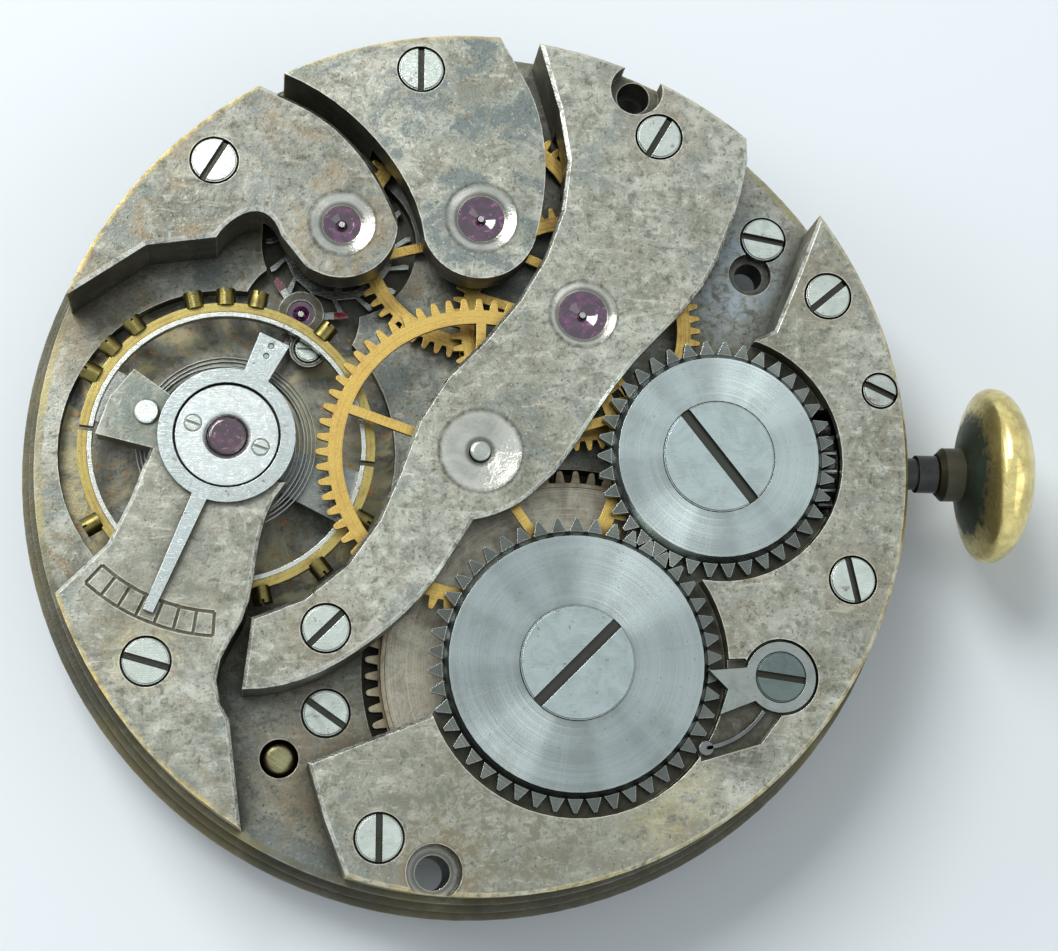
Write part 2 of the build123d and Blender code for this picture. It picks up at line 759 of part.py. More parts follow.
STUD_PIN = (STUD_PIN_SHARE[0] * BRIDGE_R, STUD_PIN_SHARE[1] * BRIDGE_R)

# Gear sizes
barrel_pitch, centre_leaf_pitch, barrel_module = pitch_radii(
    BARREL_DISTANCE, BARREL_TEETH, CENTRE_PINION_TEETH
)
centre_pitch, third_leaf_pitch, centre_module = pitch_radii(THIRD_DISTANCE, CENTRE_TEETH, THIRD_PINION_TEETH)
third_pitch, fourth_leaf_pitch, third_module = pitch_radii(FOURTH_DISTANCE, THIRD_TEETH, FOURTH_PINION_TEETH)
fourth_pitch, escape_leaf_pitch, fourth_module = pitch_radii(
    ESCAPE_DISTANCE, FOURTH_TEETH, ESCAPE_PINION_TEETH
)
ratchet_pitch, crown_pitch, winding_module = pitch_radii(
    gap(BARREL, CROWN_WHEEL), RATCHET_TEETH, CROWN_WHEEL_TEETH
)
cannon_pitch, minute_pitch, motion_module = pitch_radii(MOTION_DISTANCE, CANNON_TEETH, MINUTE_TEETH)
minute_leaf_pitch, hour_pitch, hour_module = pitch_radii(MOTION_DISTANCE, MINUTE_PINION_TEETH, HOUR_TEETH)
setting_pitch = gap(MINUTE, SETTING) - minute_pitch
barrel_tip = barrel_pitch + TIP_SHARE * barrel_module
third_tip = third_pitch + TIP_SHARE * third_module
fourth_tip = fourth_pitch + TIP_SHARE * fourth_module
ratchet_tip = ratchet_pitch + WINDING_TIP_SHARE * winding_module
crown_tip = crown_pitch + WINDING_TIP_SHARE * winding_module
minute_tip = minute_pitch + TIP_SHARE * motion_module
hour_tip = hour_pitch + TIP_SHARE * hour_module
setting_tip = setting_pitch + TIP_SHARE * motion_module

# Turns that set each gear's spaces on its driver's teeth
barrel_turn = meshed_turn(BARREL_TEETH, BARREL_ANGLE, CENTRE_PINION_TEETH, 0)
third_leaf_turn = meshed_turn(THIRD_PINION_TEETH, THIRD_ANGLE, CENTRE_TEETH, 0)
fourth_leaf_turn = meshed_turn(FOURTH_PINION_TEETH, FOURTH_ANGLE, THIRD_TEETH, 0)
escape_leaf_turn = meshed_turn(ESCAPE_PINION_TEETH, ESCAPE_ANGLE, FOURTH_TEETH, 0)
ratchet_turn = meshed_turn(RATCHET_TEETH, heading(CROWN_WHEEL, BARREL), CROWN_WHEEL_TEETH, 0)
minute_turn = meshed_turn(MINUTE_TEETH, MINUTE_ANGLE, CANNON_TEETH, 0)
hour_leaf_turn = meshed_turn(MINUTE_PINION_TEETH, MINUTE_ANGLE, HOUR_TEETH, 0)
setting_turn = meshed_turn(SETTING_TEETH, heading(MINUTE, SETTING), MINUTE_TEETH, minute_turn)


def wheel(teeth, pitch, module, low, at, turn, arm_turn, hub=HUB_R, seat=SEAT_R):
    """A spoked train wheel with a bore for its seat."""
    root = pitch - ROOT_SHARE * module
    high = low + WHEEL_T
    prism(gear_points(teeth, root, pitch + TIP_SHARE * module, *TOOTH_SHARES, turn), low, high, at)
    arm_windows(root - RIM_W, hub, ARM_COUNT, ARM_W, low, high, at, arm_turn)
    hole_through(seat + SEAT_FIT, low, high, at)


def leaves(teeth, pitch, module, levels, at, turn):
    """A pinion's leaves between two levels."""
    root, tip = pitch - ROOT_SHARE * module, pitch + LEAF_TIP_SHARE * module
    prism(gear_points(teeth, root, tip, *LEAF_SHARES, turn), *levels, at)


def arbor(at, wheel_low, shoulders, ends, pivot_r=PIVOT_R):
    """An arbor with its two pivots, and the seat and shoulder of its wheel."""
    disc(pivot_r, *ends, at)
    disc(ARBOR_R, *shoulders, at)
    disc(SEAT_R, wheel_low, wheel_low + WHEEL_T, at)


def face_teeth(low, high, count, radius, long, wide, turn):
    """A ring of radial teeth on a face across the stem's axis."""
    with BuildSketch(Plane.YZ.offset(low)) as ring:
        for tooth in range(count):
            angle = turn + tooth * 360 / count
            with Locations(Location((*place(radius, angle, (0, STEM_Z)), 0), (0, 0, angle))):
                Rectangle(long, wide)
    extrude(ring.sketch, amount=high - low)


def round_gear(teeth, pitch, module, low, high, at, turn, bore):
    """A solid gear with a bore."""
    points = gear_points(teeth, pitch - ROOT_SHARE * module, pitch + TIP_SHARE * module, *TOOTH_SHARES, turn)
    prism(points, low, high, at)
    hole_through(bore, low, high, at)


# Levels that several pieces share
jewel_top = BRIDGE_TOP - JEWEL_DOWN
jewel_low = jewel_top - JEWEL_T
plate_jewel_top = PLATE_T - PLATE_JEWEL_DOWN
floor_jewel_top = ESCAPE_FLOOR - PLATE_JEWEL_DOWN
setting_floor = SETTING_TOP + PLATE_JEWEL_DOWN
balance_jewel_top = BALANCE_COCK_Z + BALANCE_JEWEL_RISE + BALANCE_JEWEL_T
lower_hole_top = ESCAPE_FLOOR - LOWER_JEWEL_DOWN
lower_hole_low = lower_hole_top - BALANCE_JEWEL_T
lower_cap_top = lower_hole_low - END_SHAKE
lower_cap_low = lower_cap_top - LOWER_CAP_JEWEL_T
lower_cap_z = lower_cap_low - LOWER_CAP_T
barrel_low = BARREL_FLOOR + BARREL_LIFT
cavity_low = barrel_low + BARREL_BASE_T
cavity_top = BARREL_TOP - BARREL_LID_T
click_head_low = CLICK_Z + CLICK_WEB_T
crown_head_low = WINDING_WHEEL_TOP + WINDING_HEAD_RISE - WINDING_HEAD_T
ratchet_head_low = WINDING_WHEEL_TOP + RATCHET_HEAD_RISE - WINDING_HEAD_T
bridge_screws_shares = (
    BARREL_BRIDGE_SCREW_SHARES + TRAIN_BRIDGE_SCREW_SHARES + FOURTH_COCK_SCREW_SHARES
    + ESCAPE_COCK_SCREW_SHARES + BALANCE_COCK_SCREW_SHARES
)
plate_jewels = (
    (THIRD, PLATE_JEWEL_R, plate_jewel_top, PIVOT_R),
    (FOURTH, PLATE_JEWEL_R, plate_jewel_top, SECONDS_PIVOT_R),
    (ESCAPE, PLATE_JEWEL_R, floor_jewel_top, PIVOT_R),
    (PALLET, PALLET_JEWEL_R, floor_jewel_top, PIVOT_R),
)
bridge_jewels = ((THIRD, THIRD_JEWEL_R), (FOURTH, FOURTH_JEWEL_R), (ESCAPE, ESCAPE_JEWEL_R))
cap_screw_places = [place(CAP_SCREW_RADIUS, CAP_SCREW_ANGLE + a, BALANCE) for a in (0, 180)]
lower_screw_places = [place(LOWER_SCREW_RADIUS, a, BALANCE) for a in (0, 180)]


def sink_screws(shares, low=SCREW_END_Z):
    """Cuts the sunk holes for a bridge's screws."""
    for at in scaled(shares):
        screw_hole(at, BRIDGE_TOP, SCREW_HEAD_R, SCREW_HEAD_T, SCREW_SHANK_R, low)


def clear(at, radius, top):
    """Cuts a wheel's room from the underside of a bridge."""
    disc(radius, PLATE_T - OVERRUN, top, at, Mode.SUBTRACT)


def case_hole(share):
    """Cuts the hole and the sink of a case screw."""
    at = (share[0] * BRIDGE_R, share[1] * BRIDGE_R)
    disc(CASE_SCREW_HOLE_R, -OVERRUN, BRIDGE_TOP + OVERRUN, at, Mode.SUBTRACT)
    disc(CASE_SINK_R, BRIDGE_TOP - CASE_SINK, BRIDGE_TOP + OVERRUN, at, Mode.SUBTRACT)


def stem_slots(high):
    """Cuts the slots and bores for the stem, the clutch and the winding pinion."""
    half_clutch = CLUTCH_R + SLOT_AIR
    half_pinion = WINDING_PITCH_R + WINDING_TOOTH_TIP + SLOT_AIR
    pinion_end = WINDING_PINION_X + WINDING_PINION_T + SLOT_AIR
    slot_x = CLUTCH_X - STEM_TRAVEL - SLOT_AIR
    block(slot_x, WINDING_PINION_X, -half_clutch, half_clutch, -OVERRUN, high, Mode.SUBTRACT)
    block(WINDING_PINION_X - SLOT_AIR, pinion_end, -half_pinion, half_pinion, -OVERRUN,
          STEM_Z + half_pinion, Mode.SUBTRACT)
    stem_disc(STEM_R + RUN_FIT, WINDING_PINION_X, FLANGE_R + OVERRUN, Mode.SUBTRACT)
    stem_disc(PILOT_R + RUN_FIT, PILOT_X - SLOT_AIR, CLUTCH_X, Mode.SUBTRACT)


# Main plate
with BuildPart() as main_plate:
    disc(FLANGE_R, 0, FLANGE_T)
    disc(STEP_R, FLANGE_T, STEP_TOP)
    disc(BODY_R, STEP_TOP, PLATE_T)
    disc(barrel_tip + AIR, BARREL_FLOOR, PLATE_T + OVERRUN, BARREL, Mode.SUBTRACT)
    disc(CENTRE_RECESS_R, CENTRE_RECESS_Z, PLATE_T + OVERRUN, CENTRE, Mode.SUBTRACT)
    rooms = ((BALANCE, BALANCE_RECESS_R), (ESCAPE, ESCAPE_R + WHEEL_AIR), (PALLET, PALLET_RECESS_R))
    for at, radius in rooms:
        disc(radius, ESCAPE_FLOOR, PLATE_T + OVERRUN, at, Mode.SUBTRACT)
    prism(scaled(KEYLESS_SHARES), -OVERRUN, KEYLESS_FLOOR, mode=Mode.SUBTRACT)
    prism(scaled(COVER_SHARES), -OVERRUN, COVER_T + SEAT_FIT, mode=Mode.SUBTRACT)
    stem_slots(PLATE_T + OVERRUN)
    for at, radius, floor in (
        (CENTRE, hour_tip + WHEEL_AIR, MOTION_FLOOR),
        (MINUTE, minute_tip + WHEEL_AIR, MOTION_FLOOR),
        (SETTING, setting_tip + AIR, setting_floor),
        (BALANCE, LOWER_CAP_R + SEAT_FIT, lower_cap_low),
    ):
        disc(radius, -OVERRUN, floor, at, Mode.SUBTRACT)
    disc(POST_R, POST_END_Z, MOTION_FLOOR, MINUTE)
    disc(SETTING_POST_R, POST_END_Z, setting_floor, SETTING)
    disc(YOKE_PIN_R, YOKE_LOW, KEYLESS_FLOOR, YOKE)
    for at, radius, top, bore in plate_jewels:
        disc(radius + SEAT_FIT, top - JEWEL_T, PLATE_T + OVERRUN, at, Mode.SUBTRACT)
        disc(PIVOT_HOLE_R, -OVERRUN, top, at, Mode.SUBTRACT)
    disc(BALANCE_JEWEL_R + SEAT_FIT, -OVERRUN, PLATE_T, BALANCE, Mode.SUBTRACT)
    disc(CENTRE_ARBOR_R + RUN_FIT, -OVERRUN, PLATE_T, CENTRE, Mode.SUBTRACT)
    disc(BARREL_ARBOR_R + RUN_FIT, -OVERRUN, PLATE_T, BARREL, Mode.SUBTRACT)
    for at in scaled(bridge_screws_shares):
        disc(SCREW_SHANK_R + SCREW_FIT, SCREW_END_Z - SCREW_FIT, PLATE_T + OVERRUN, at, Mode.SUBTRACT)
    for at in scaled(FOOT_SCREW_SHARES):
        disc(SCREW_HEAD_R + SCREW_WALL, FOOT_SCREW_TOP - SCREW_HEAD_T, PLATE_T + OVERRUN, at, Mode.SUBTRACT)
        disc(SCREW_SHANK_R + SCREW_FIT, SCREW_END_Z - SCREW_FIT, PLATE_T, at, Mode.SUBTRACT)
    disc(FOOT_HOLE_R, -OVERRUN, PLATE_T + OVERRUN, FOOT_HOLE, Mode.SUBTRACT)
    disc(FOOT_SINK_R, PLATE_T - FOOT_SINK, PLATE_T + OVERRUN, FOOT_HOLE, Mode.SUBTRACT)
    disc(STUD_PIN_R + SEAT_FIT, STUD_PIN_LOW, PLATE_T + OVERRUN, STUD_PIN, Mode.SUBTRACT)
    hole_through(LEVER_SHANK_R + SCREW_FIT, KEYLESS_FLOOR, PLATE_T, LEVER)
    pin_room = LEVER_PIN_R + SLOT_AIR
    block(STEM_GROOVE_X - pin_room, STEM_GROOVE_X + STEM_TRAVEL + pin_room, -pin_room, pin_room,
          KEYLESS_FLOOR - OVERRUN, PLATE_T, Mode.SUBTRACT)
    disc(PALLET_POST_R, ESCAPE_FLOOR, PALLET_COCK_LOW, PALLET_FOOT)
    disc(SMALL_SHANK_R + SCREW_FIT, PALLET_COCK_TOP - SMALL_SCREW_LONG, PLATE_T + OVERRUN, PALLET_FOOT,
         Mode.SUBTRACT)
    for at in scaled(COVER_SCREW_SHARES):
        disc(COVER_SHANK_R + SCREW_FIT, -OVERRUN, COVER_SCREW_TOP + SCREW_FIT, at, Mode.SUBTRACT)
    for at in lower_screw_places:
        disc(CAP_SCREW_SHANK_R + SCREW_FIT, -OVERRUN, lower_cap_low + CAP_SCREW_GRIP, at, Mode.SUBTRACT)
    for share in CASE_HOLE_SHARES:
        case_hole(share)
write(main_plate, "main_plate")

# Bridges and cocks
with BuildPart() as barrel_bridge:
    rim = rim_arc(BARREL_RIM_ANGLES)
    inner = scaled(BARREL_INNER_SHARES)
    left = scaled(BARREL_LEFT_SHARES)
    slab([rim, inner[:2], inner[1:], left[:2], left[1:]], PLATE_T, BRIDGE_TOP)
    chamfer(barrel_bridge.faces().sort_by(Axis.Z)[-1].edges(), BEVEL)
    disc(RATCHET_SEAT_R, PLATE_T, BRIDGE_TOP, BARREL)
    disc(CROWN_SEAT_R, PLATE_T, BRIDGE_TOP, CROWN_WHEEL)
    hole_through(CENTRE_ROOM_R, PLATE_T, BRIDGE_TOP, CENTRE)
    clear(BARREL, barrel_tip + WHEEL_AIR, BARREL_BRIDGE_Z)
    clear(THIRD, third_tip + WHEEL_AIR, BARREL_BRIDGE_Z)
    disc(ratchet_tip + WINDING_RECESS_AIR, WINDING_RECESS_Z, BRIDGE_TOP + OVERRUN, BARREL, Mode.SUBTRACT)
    disc(crown_tip + WINDING_RECESS_AIR, WINDING_RECESS_Z, BRIDGE_TOP + OVERRUN, CROWN_WHEEL, Mode.SUBTRACT)
    disc(BARREL_ARBOR_R + RUN_FIT, PLATE_T, BRIDGE_TOP, BARREL, Mode.SUBTRACT)
    disc(CROWN_CORE_R, WINDING_RECESS_Z, crown_head_low - SEAT_FIT, CROWN_WHEEL)
    stem_slots(STEM_Z + CLUTCH_R + SLOT_AIR)
    disc(CLICK_R + AIR, CLICK_RECESS_Z, BRIDGE_TOP + OVERRUN, CLICK, Mode.SUBTRACT)
    prism(scaled(CLICK_POCKET_SHARES), CLICK_RECESS_Z, BRIDGE_TOP + OVERRUN, mode=Mode.SUBTRACT)
    disc(CORE_SHANK_R + SCREW_FIT, CORE_SCREW_END - SCREW_FIT, BRIDGE_TOP, CROWN_WHEEL, Mode.SUBTRACT)
    disc(CLICK_SHANK_R + SCREW_FIT, CORE_SCREW_END - SCREW_FIT, BRIDGE_TOP, CLICK, Mode.SUBTRACT)
    sink_screws(BARREL_BRIDGE_SCREW_SHARES)
    screw_hole(LEVER, BRIDGE_TOP, LEVER_SCREW_R, SCREW_HEAD_T, LEVER_SHANK_R, PLATE_T)
    case_hole(CASE_HOLE_SHARES[0])
write(barrel_bridge, "barrel_bridge")

with BuildPart() as train_bridge:
    rim = rim_arc(TRAIN_RIM_ANGLES)
    right = scaled(TRAIN_RIGHT_SHARES)
    hub = right[-1:] + scaled(TRAIN_HUB_SHARES)
    slab([rim, right, hub, scaled(TRAIN_LOWER_SHARES), scaled(TRAIN_LEFT_SHARES)], PLATE_T, BRIDGE_TOP)
    chamfer(train_bridge.faces().sort_by(Axis.Z)[-1].edges(), BEVEL)
    clear(CENTRE, CENTRE_ROOM_R, UNDER_BRIDGE)
    clear(THIRD, third_tip + WHEEL_AIR, UNDER_BRIDGE)
    clear(FOURTH, fourth_tip + WHEEL_AIR, BARREL_BRIDGE_Z)
    clear(BARREL, barrel_tip + WHEEL_AIR, BARREL_BRIDGE_Z)
    jewel_seat(THIRD, THIRD_JEWEL_R, THIRD_SINK_R, PLATE_T)
    disc(CENTRE_PIVOT_R + RUN_FIT, PLATE_T, BRIDGE_TOP, CENTRE, Mode.SUBTRACT)
    with Locations((0, 0, BRIDGE_TOP - CENTRE_SINK)):
        Cone(CENTRE_PIVOT_R, CENTRE_SINK_R, CENTRE_SINK, align=UP, mode=Mode.SUBTRACT)
    sink_screws(TRAIN_BRIDGE_SCREW_SHARES)
    case_hole(CASE_HOLE_SHARES[1])
write(train_bridge, "train_bridge")

with BuildPart() as fourth_wheel_cock:
    rim = rim_arc(FOURTH_RIM_ANGLES)
    left = [rim[-1]] + scaled(FOURTH_LEFT_SHARES)
    end = left[-1:] + scaled(FOURTH_END_SHARES)
    slab([rim, left, end, end[-1:] + scaled(FOURTH_RIGHT_SHARES)], PLATE_T, BRIDGE_TOP)
    clear(FOURTH, fourth_tip + WHEEL_AIR, UNDER_COCK)
    jewel_seat(FOURTH, FOURTH_JEWEL_R, FOURTH_SINK_R, PLATE_T)
    sink_screws(FOURTH_COCK_SCREW_SHARES)
write(fourth_wheel_cock, "fourth_wheel_cock")

with BuildPart() as escape_wheel_cock:
    rim = rim_arc(ESCAPE_RIM_ANGLES)
    inner = (ESCAPE_INNER_SHARE[0] * BRIDGE_R, ESCAPE_INNER_SHARE[1] * BRIDGE_R)
    bite = scaled(ESCAPE_BITE_SHARES)
    end = scaled(ESCAPE_END_SHARES)
    slab([rim, [inner, bite[0]], bite, end, end[-1:] + scaled(ESCAPE_RIGHT_SHARES)], PLATE_T, BRIDGE_TOP)
    chamfer(escape_wheel_cock.faces().sort_by(Axis.Z)[-1].edges().filter_by(GeomType.LINE), BEVEL)
    clear(ESCAPE, ESCAPE_R + WHEEL_AIR, UNDER_COCK)
    clear(PALLET, PALLET_RECESS_R, UNDER_COCK)
    clear(FOURTH, fourth_tip + WHEEL_AIR, UNDER_COCK)
    jewel_seat(ESCAPE, ESCAPE_JEWEL_R, ESCAPE_SINK_R, PLATE_T)
    sink_screws(ESCAPE_COCK_SCREW_SHARES)
write(escape_wheel_cock, "escape_wheel_cock")

with BuildPart() as balance_cock:
    rim = rim_arc(BALANCE_RIM_ANGLES)
    left = scaled(BALANCE_LEFT_SHARES)
    slab([rim, scaled(BALANCE_RIGHT_SHARES), left[:2], left[1:]], PLATE_T, BRIDGE_TOP)
    chamfer(balance_cock.faces().sort_by(Axis.Z)[-1].edges().filter_by(GeomType.LINE), BEVEL)
    disc(COCK_BOSS_R, PLATE_T, BRIDGE_TOP, BALANCE)
    prism(scaled(BALANCE_NOSE_SHARES), PLATE_T, BRIDGE_TOP)
    clear(BALANCE, BALANCE_RECESS_R, BALANCE_COCK_Z)
    disc(BALANCE_JEWEL_R + SEAT_FIT, PLATE_T, BRIDGE_TOP + OVERRUN, BALANCE, Mode.SUBTRACT)
    disc(STUD_R + SEAT_FIT, PLATE_T, BRIDGE_TOP + OVERRUN, STUD, Mode.SUBTRACT)
    for at in cap_screw_places:
        disc(CAP_SCREW_SHANK_R + SCREW_FIT, BRIDGE_TOP - CAP_SCREW_LONG, BRIDGE_TOP + OVERRUN, at,
             Mode.SUBTRACT)
    index_angles = [REGULATOR_TAIL_ANGLE + (2 * tick - INDEX_TICKS + 1) * INDEX_STEP_ANGLE / 2
                    for tick in range(INDEX_TICKS)]
    for angle in index_angles:
        tick = turned(bar(INDEX_IN_R, INDEX_OUT_R, INDEX_W), BALANCE, angle)
        prism(tick, BRIDGE_TOP - INDEX_DEPTH, BRIDGE_TOP + OVERRUN, mode=Mode.SUBTRACT)
    for radius in (INDEX_IN_R, INDEX_OUT_R):
        ends = (index_angles[0], REGULATOR_TAIL_ANGLE, index_angles[-1])
        inside, outside = [[place(radius + side, angle, BALANCE) for angle in ends]
                           for side in (-INDEX_W / 2, INDEX_W / 2)]
        slab([inside, outside[::-1]], BRIDGE_TOP - INDEX_DEPTH, BRIDGE_TOP + OVERRUN, Mode.SUBTRACT)
    sink_screws(BALANCE_COCK_SCREW_SHARES)
write(balance_cock, "balance_cock")

with BuildPart() as pallet_cock:
    reach = gap(PALLET, PALLET_FOOT)
    neck = turned(bar(0, reach, PALLET_COCK_NECK_W), PALLET, heading(PALLET, PALLET_FOOT))
    prism(neck, PALLET_COCK_LOW, PALLET_COCK_TOP)
    disc(PALLET_COCK_END_R, PALLET_COCK_LOW, PALLET_COCK_TOP, PALLET)
    disc(PALLET_COCK_FOOT_R, PALLET_COCK_LOW, PALLET_COCK_TOP, PALLET_FOOT)
    hole_through(PALLET_JEWEL_R + SEAT_FIT, PALLET_COCK_LOW, PALLET_COCK_TOP, PALLET)
    screw_hole(PALLET_FOOT, PALLET_COCK_TOP, SMALL_SCREW_R, SMALL_SCREW_T, SMALL_SHANK_R, PLATE_T)
write(pallet_cock, "pallet_cock")

# Screws
with BuildPart() as bridge_screws:
    for x, y, slot_turn in bridge_screws_shares:
        screw((x * BRIDGE_R, y * BRIDGE_R), BRIDGE_TOP + SCREW_RISE, SCREW_HEAD_R, SCREW_HEAD_T,
              SCREW_SHANK_R, SCREW_END_Z, slot_turn)
write(bridge_screws, "bridge_screws")

with BuildPart() as dial_foot_screws:
    for x, y, slot_turn in FOOT_SCREW_SHARES:
        screw((x * BRIDGE_R, y * BRIDGE_R), FOOT_SCREW_TOP, SCREW_HEAD_R, SCREW_HEAD_T - SCREW_FIT,
              SCREW_SHANK_R, SCREW_END_Z, slot_turn)
write(dial_foot_screws, "dial_foot_screws")

with BuildPart() as crown_wheel_screw:
    screw(CROWN_WHEEL, WINDING_WHEEL_TOP + WINDING_HEAD_RISE, WINDING_SCREW_R, WINDING_HEAD_T,
          CORE_SHANK_R, CORE_SCREW_END, CROWN_SLOT_TURN, WIDE_SLOT_W)
write(crown_wheel_screw, "crown_wheel_screw")

with BuildPart() as click_screw:
    screw(CLICK, BRIDGE_TOP + SCREW_RISE, CLICK_SCREW_R, BRIDGE_TOP + SCREW_RISE - click_head_low - SEAT_FIT,
          CLICK_SHANK_R, CORE_SCREW_END, CLICK_SLOT_TURN)
write(click_screw, "click_screw")

with BuildPart() as setting_lever_screw:
    screw(LEVER, BRIDGE_TOP + SCREW_RISE, LEVER_SCREW_R, SCREW_HEAD_T, LEVER_SHANK_R, LEVER_LOW,
          LEVER_SLOT_TURN)
write(setting_lever_screw, "setting_lever_screw")

with BuildPart() as small_screws:
    screw(PALLET_FOOT, PALLET_COCK_TOP + END_SHAKE, SMALL_SCREW_R, SMALL_SCREW_T, SMALL_SHANK_R,
          PALLET_COCK_TOP - SMALL_SCREW_LONG + SCREW_FIT, 0, SMALL_SLOT_W, SMALL_SLOT_DEPTH)
    for at in cap_screw_places:
        screw(at, BRIDGE_TOP + CAP_PLATE_T + END_SHAKE, UPPER_SCREW_R, CAP_SCREW_HEAD_T, CAP_SCREW_SHANK_R,
              BRIDGE_TOP - CAP_SCREW_LONG + SCREW_FIT, CAP_SCREW_ANGLE, SMALL_SLOT_W, SMALL_SLOT_DEPTH)
    for at in scaled(COVER_SCREW_SHARES):
        dial_screw(at, SCREW_FIT, SMALL_SCREW_R, COVER_HEAD_T, COVER_SHANK_R, COVER_SCREW_TOP)
    for at in lower_screw_places:
        dial_screw(at, lower_cap_z, CAP_SCREW_R, CAP_SCREW_HEAD_T, CAP_SCREW_SHANK_R,
                   lower_cap_low + CAP_SCREW_GRIP)
write(small_screws, "small_screws")

# Jewels and their settings
with BuildPart() as train_jewels:
    for at, radius in bridge_jewels:
        jewel(at, radius, jewel_low, jewel_top, PIVOT_R + RUN_FIT)
    for at, radius, top, pivot in plate_jewels:
        jewel(at, radius, top - JEWEL_T, top, pivot + RUN_FIT)
    jewel(PALLET, PALLET_JEWEL_R, PALLET_COCK_LOW + PALLET_JEWEL_DOWN, PALLET_COCK_TOP - PALLET_JEWEL_DOWN,
          PIVOT_R + RUN_FIT)
write(train_jewels, "train_jewels")

with BuildPart() as balance_hole_jewels:
    for top in (lower_hole_top, balance_jewel_top):
        jewel(BALANCE, BALANCE_JEWEL_R, top - BALANCE_JEWEL_T, top, STAFF_PIVOT_R + RUN_FIT)
write(balance_hole_jewels, "balance_hole_jewels")

with BuildPart() as balance_cap_jewels:
    disc(BALANCE_JEWEL_R, lower_cap_low, lower_cap_top, BALANCE)
    disc(CAP_JEWEL_R, balance_jewel_top + 2 * END_SHAKE, BRIDGE_TOP, BALANCE)
    disc(CAP_DOME_R, BRIDGE_TOP, CAP_JEWEL_TOP, BALANCE)
    fillet(balance_cap_jewels.faces().sort_by(Axis.Z)[-1].edges(), CAP_JEWEL_ROUND)
write(balance_cap_jewels, "balance_cap_jewels")

with BuildPart() as upper_cap_plate:
    disc(CAP_PLATE_R, BRIDGE_TOP, BRIDGE_TOP + CAP_PLATE_T, BALANCE)
    chamfer(upper_cap_plate.faces().sort_by(Axis.Z)[-1].edges(), SCREW_EDGE)
    hole_through(CAP_BORE_R, BRIDGE_TOP, BRIDGE_TOP, BALANCE)
    with Locations((*BALANCE, BRIDGE_TOP)):
        Cone(CAP_BORE_R, CAP_SINK_R, CAP_PLATE_T, align=UP, mode=Mode.SUBTRACT)
    head_floor = BRIDGE_TOP + CAP_PLATE_T + END_SHAKE - CAP_SCREW_HEAD_T
    for at in cap_screw_places:
        disc(UPPER_SCREW_R + SCREW_FIT, head_floor, BRIDGE_TOP + OVERRUN, at, Mode.SUBTRACT)
        hole_through(CAP_SCREW_SHANK_R + SCREW_FIT, BRIDGE_TOP, BRIDGE_TOP, at)
write(upper_cap_plate, "upper_cap_plate")

with BuildPart() as lower_cap_plate:
    disc(LOWER_CAP_R, lower_cap_z, lower_cap_low, BALANCE)
    head_top = lower_cap_z + CAP_SCREW_HEAD_T
    for at in lower_screw_places:
        disc(CAP_SCREW_R + SCREW_FIT, lower_cap_z - OVERRUN, head_top, at, Mode.SUBTRACT)
        disc(CAP_SCREW_SHANK_R + SCREW_FIT, lower_cap_z, lower_cap_low + OVERRUN, at, Mode.SUBTRACT)
write(lower_cap_plate, "lower_cap_plate")

with BuildPart() as hairspring_stud:
    disc(STUD_R, STUD_LOW, BRIDGE_TOP, STUD)
    disc(STUD_HEAD_R, BRIDGE_TOP, BRIDGE_TOP + STUD_HEAD_T, STUD)
    chamfer(hairspring_stud.faces().sort_by(Axis.Z)[-1].edges(), SCREW_EDGE)
write(hairspring_stud, "hairspring_stud")

with BuildPart() as locating_stud:
    disc(STUD_PIN_R, STUD_PIN_LOW, STUD_PIN_TOP, STUD_PIN)
    fillet(locating_stud.faces().sort_by(Axis.Z)[-1].edges(), STUD_PIN_ROUND)
write(locating_stud, "locating_stud")

# Barrel
with BuildPart() as barrel_drum:
    disc(BARREL_WALL_R, barrel_low, BARREL_TOP, BARREL)
    root = barrel_pitch - ROOT_SHARE * barrel_module
    prism(gear_points(BARREL_TEETH, root, barrel_tip, *TOOTH_SHARES, barrel_turn), BARREL_TEETH_LOW,
          BARREL_TEETH_TOP, BARREL)
    disc(BARREL_BORE_R, cavity_low, cavity_top + SEAT_FIT, BARREL, Mode.SUBTRACT)
    disc(BARREL_LID_R + SEAT_FIT, cavity_top, BARREL_TOP + OVERRUN, BARREL, Mode.SUBTRACT)
    disc(BARREL_ARBOR_R + RUN_FIT, barrel_low - OVERRUN, BARREL_TOP, BARREL, Mode.SUBTRACT)
write(barrel_drum, "barrel_drum")

with BuildPart() as barrel_cover:
    disc(BARREL_LID_R, cavity_top + SEAT_FIT, BARREL_TOP, BARREL)
    hole_through(BARREL_ARBOR_R + RUN_FIT, cavity_top, BARREL_TOP, BARREL)
write(barrel_cover, "barrel_cover")

spring_in_r = BARREL_CORE_R + SPRING_AIR + SPRING_T / 2
spring_out_r = BARREL_BORE_R - SPRING_AIR - SPRING_T / 2
with BuildPart() as mainspring:
    spiral_strip(spring_in_r, spring_out_r, SPRING_TURNS, SPRING_T, cavity_low + SPRING_AIR,
                 cavity_top - SPRING_AIR, BARREL, 0)
write(mainspring, "mainspring")
print("mainspring least gap", round(least_gap(spring_in_r, spring_out_r, SPRING_TURNS, SPRING_T), 3))

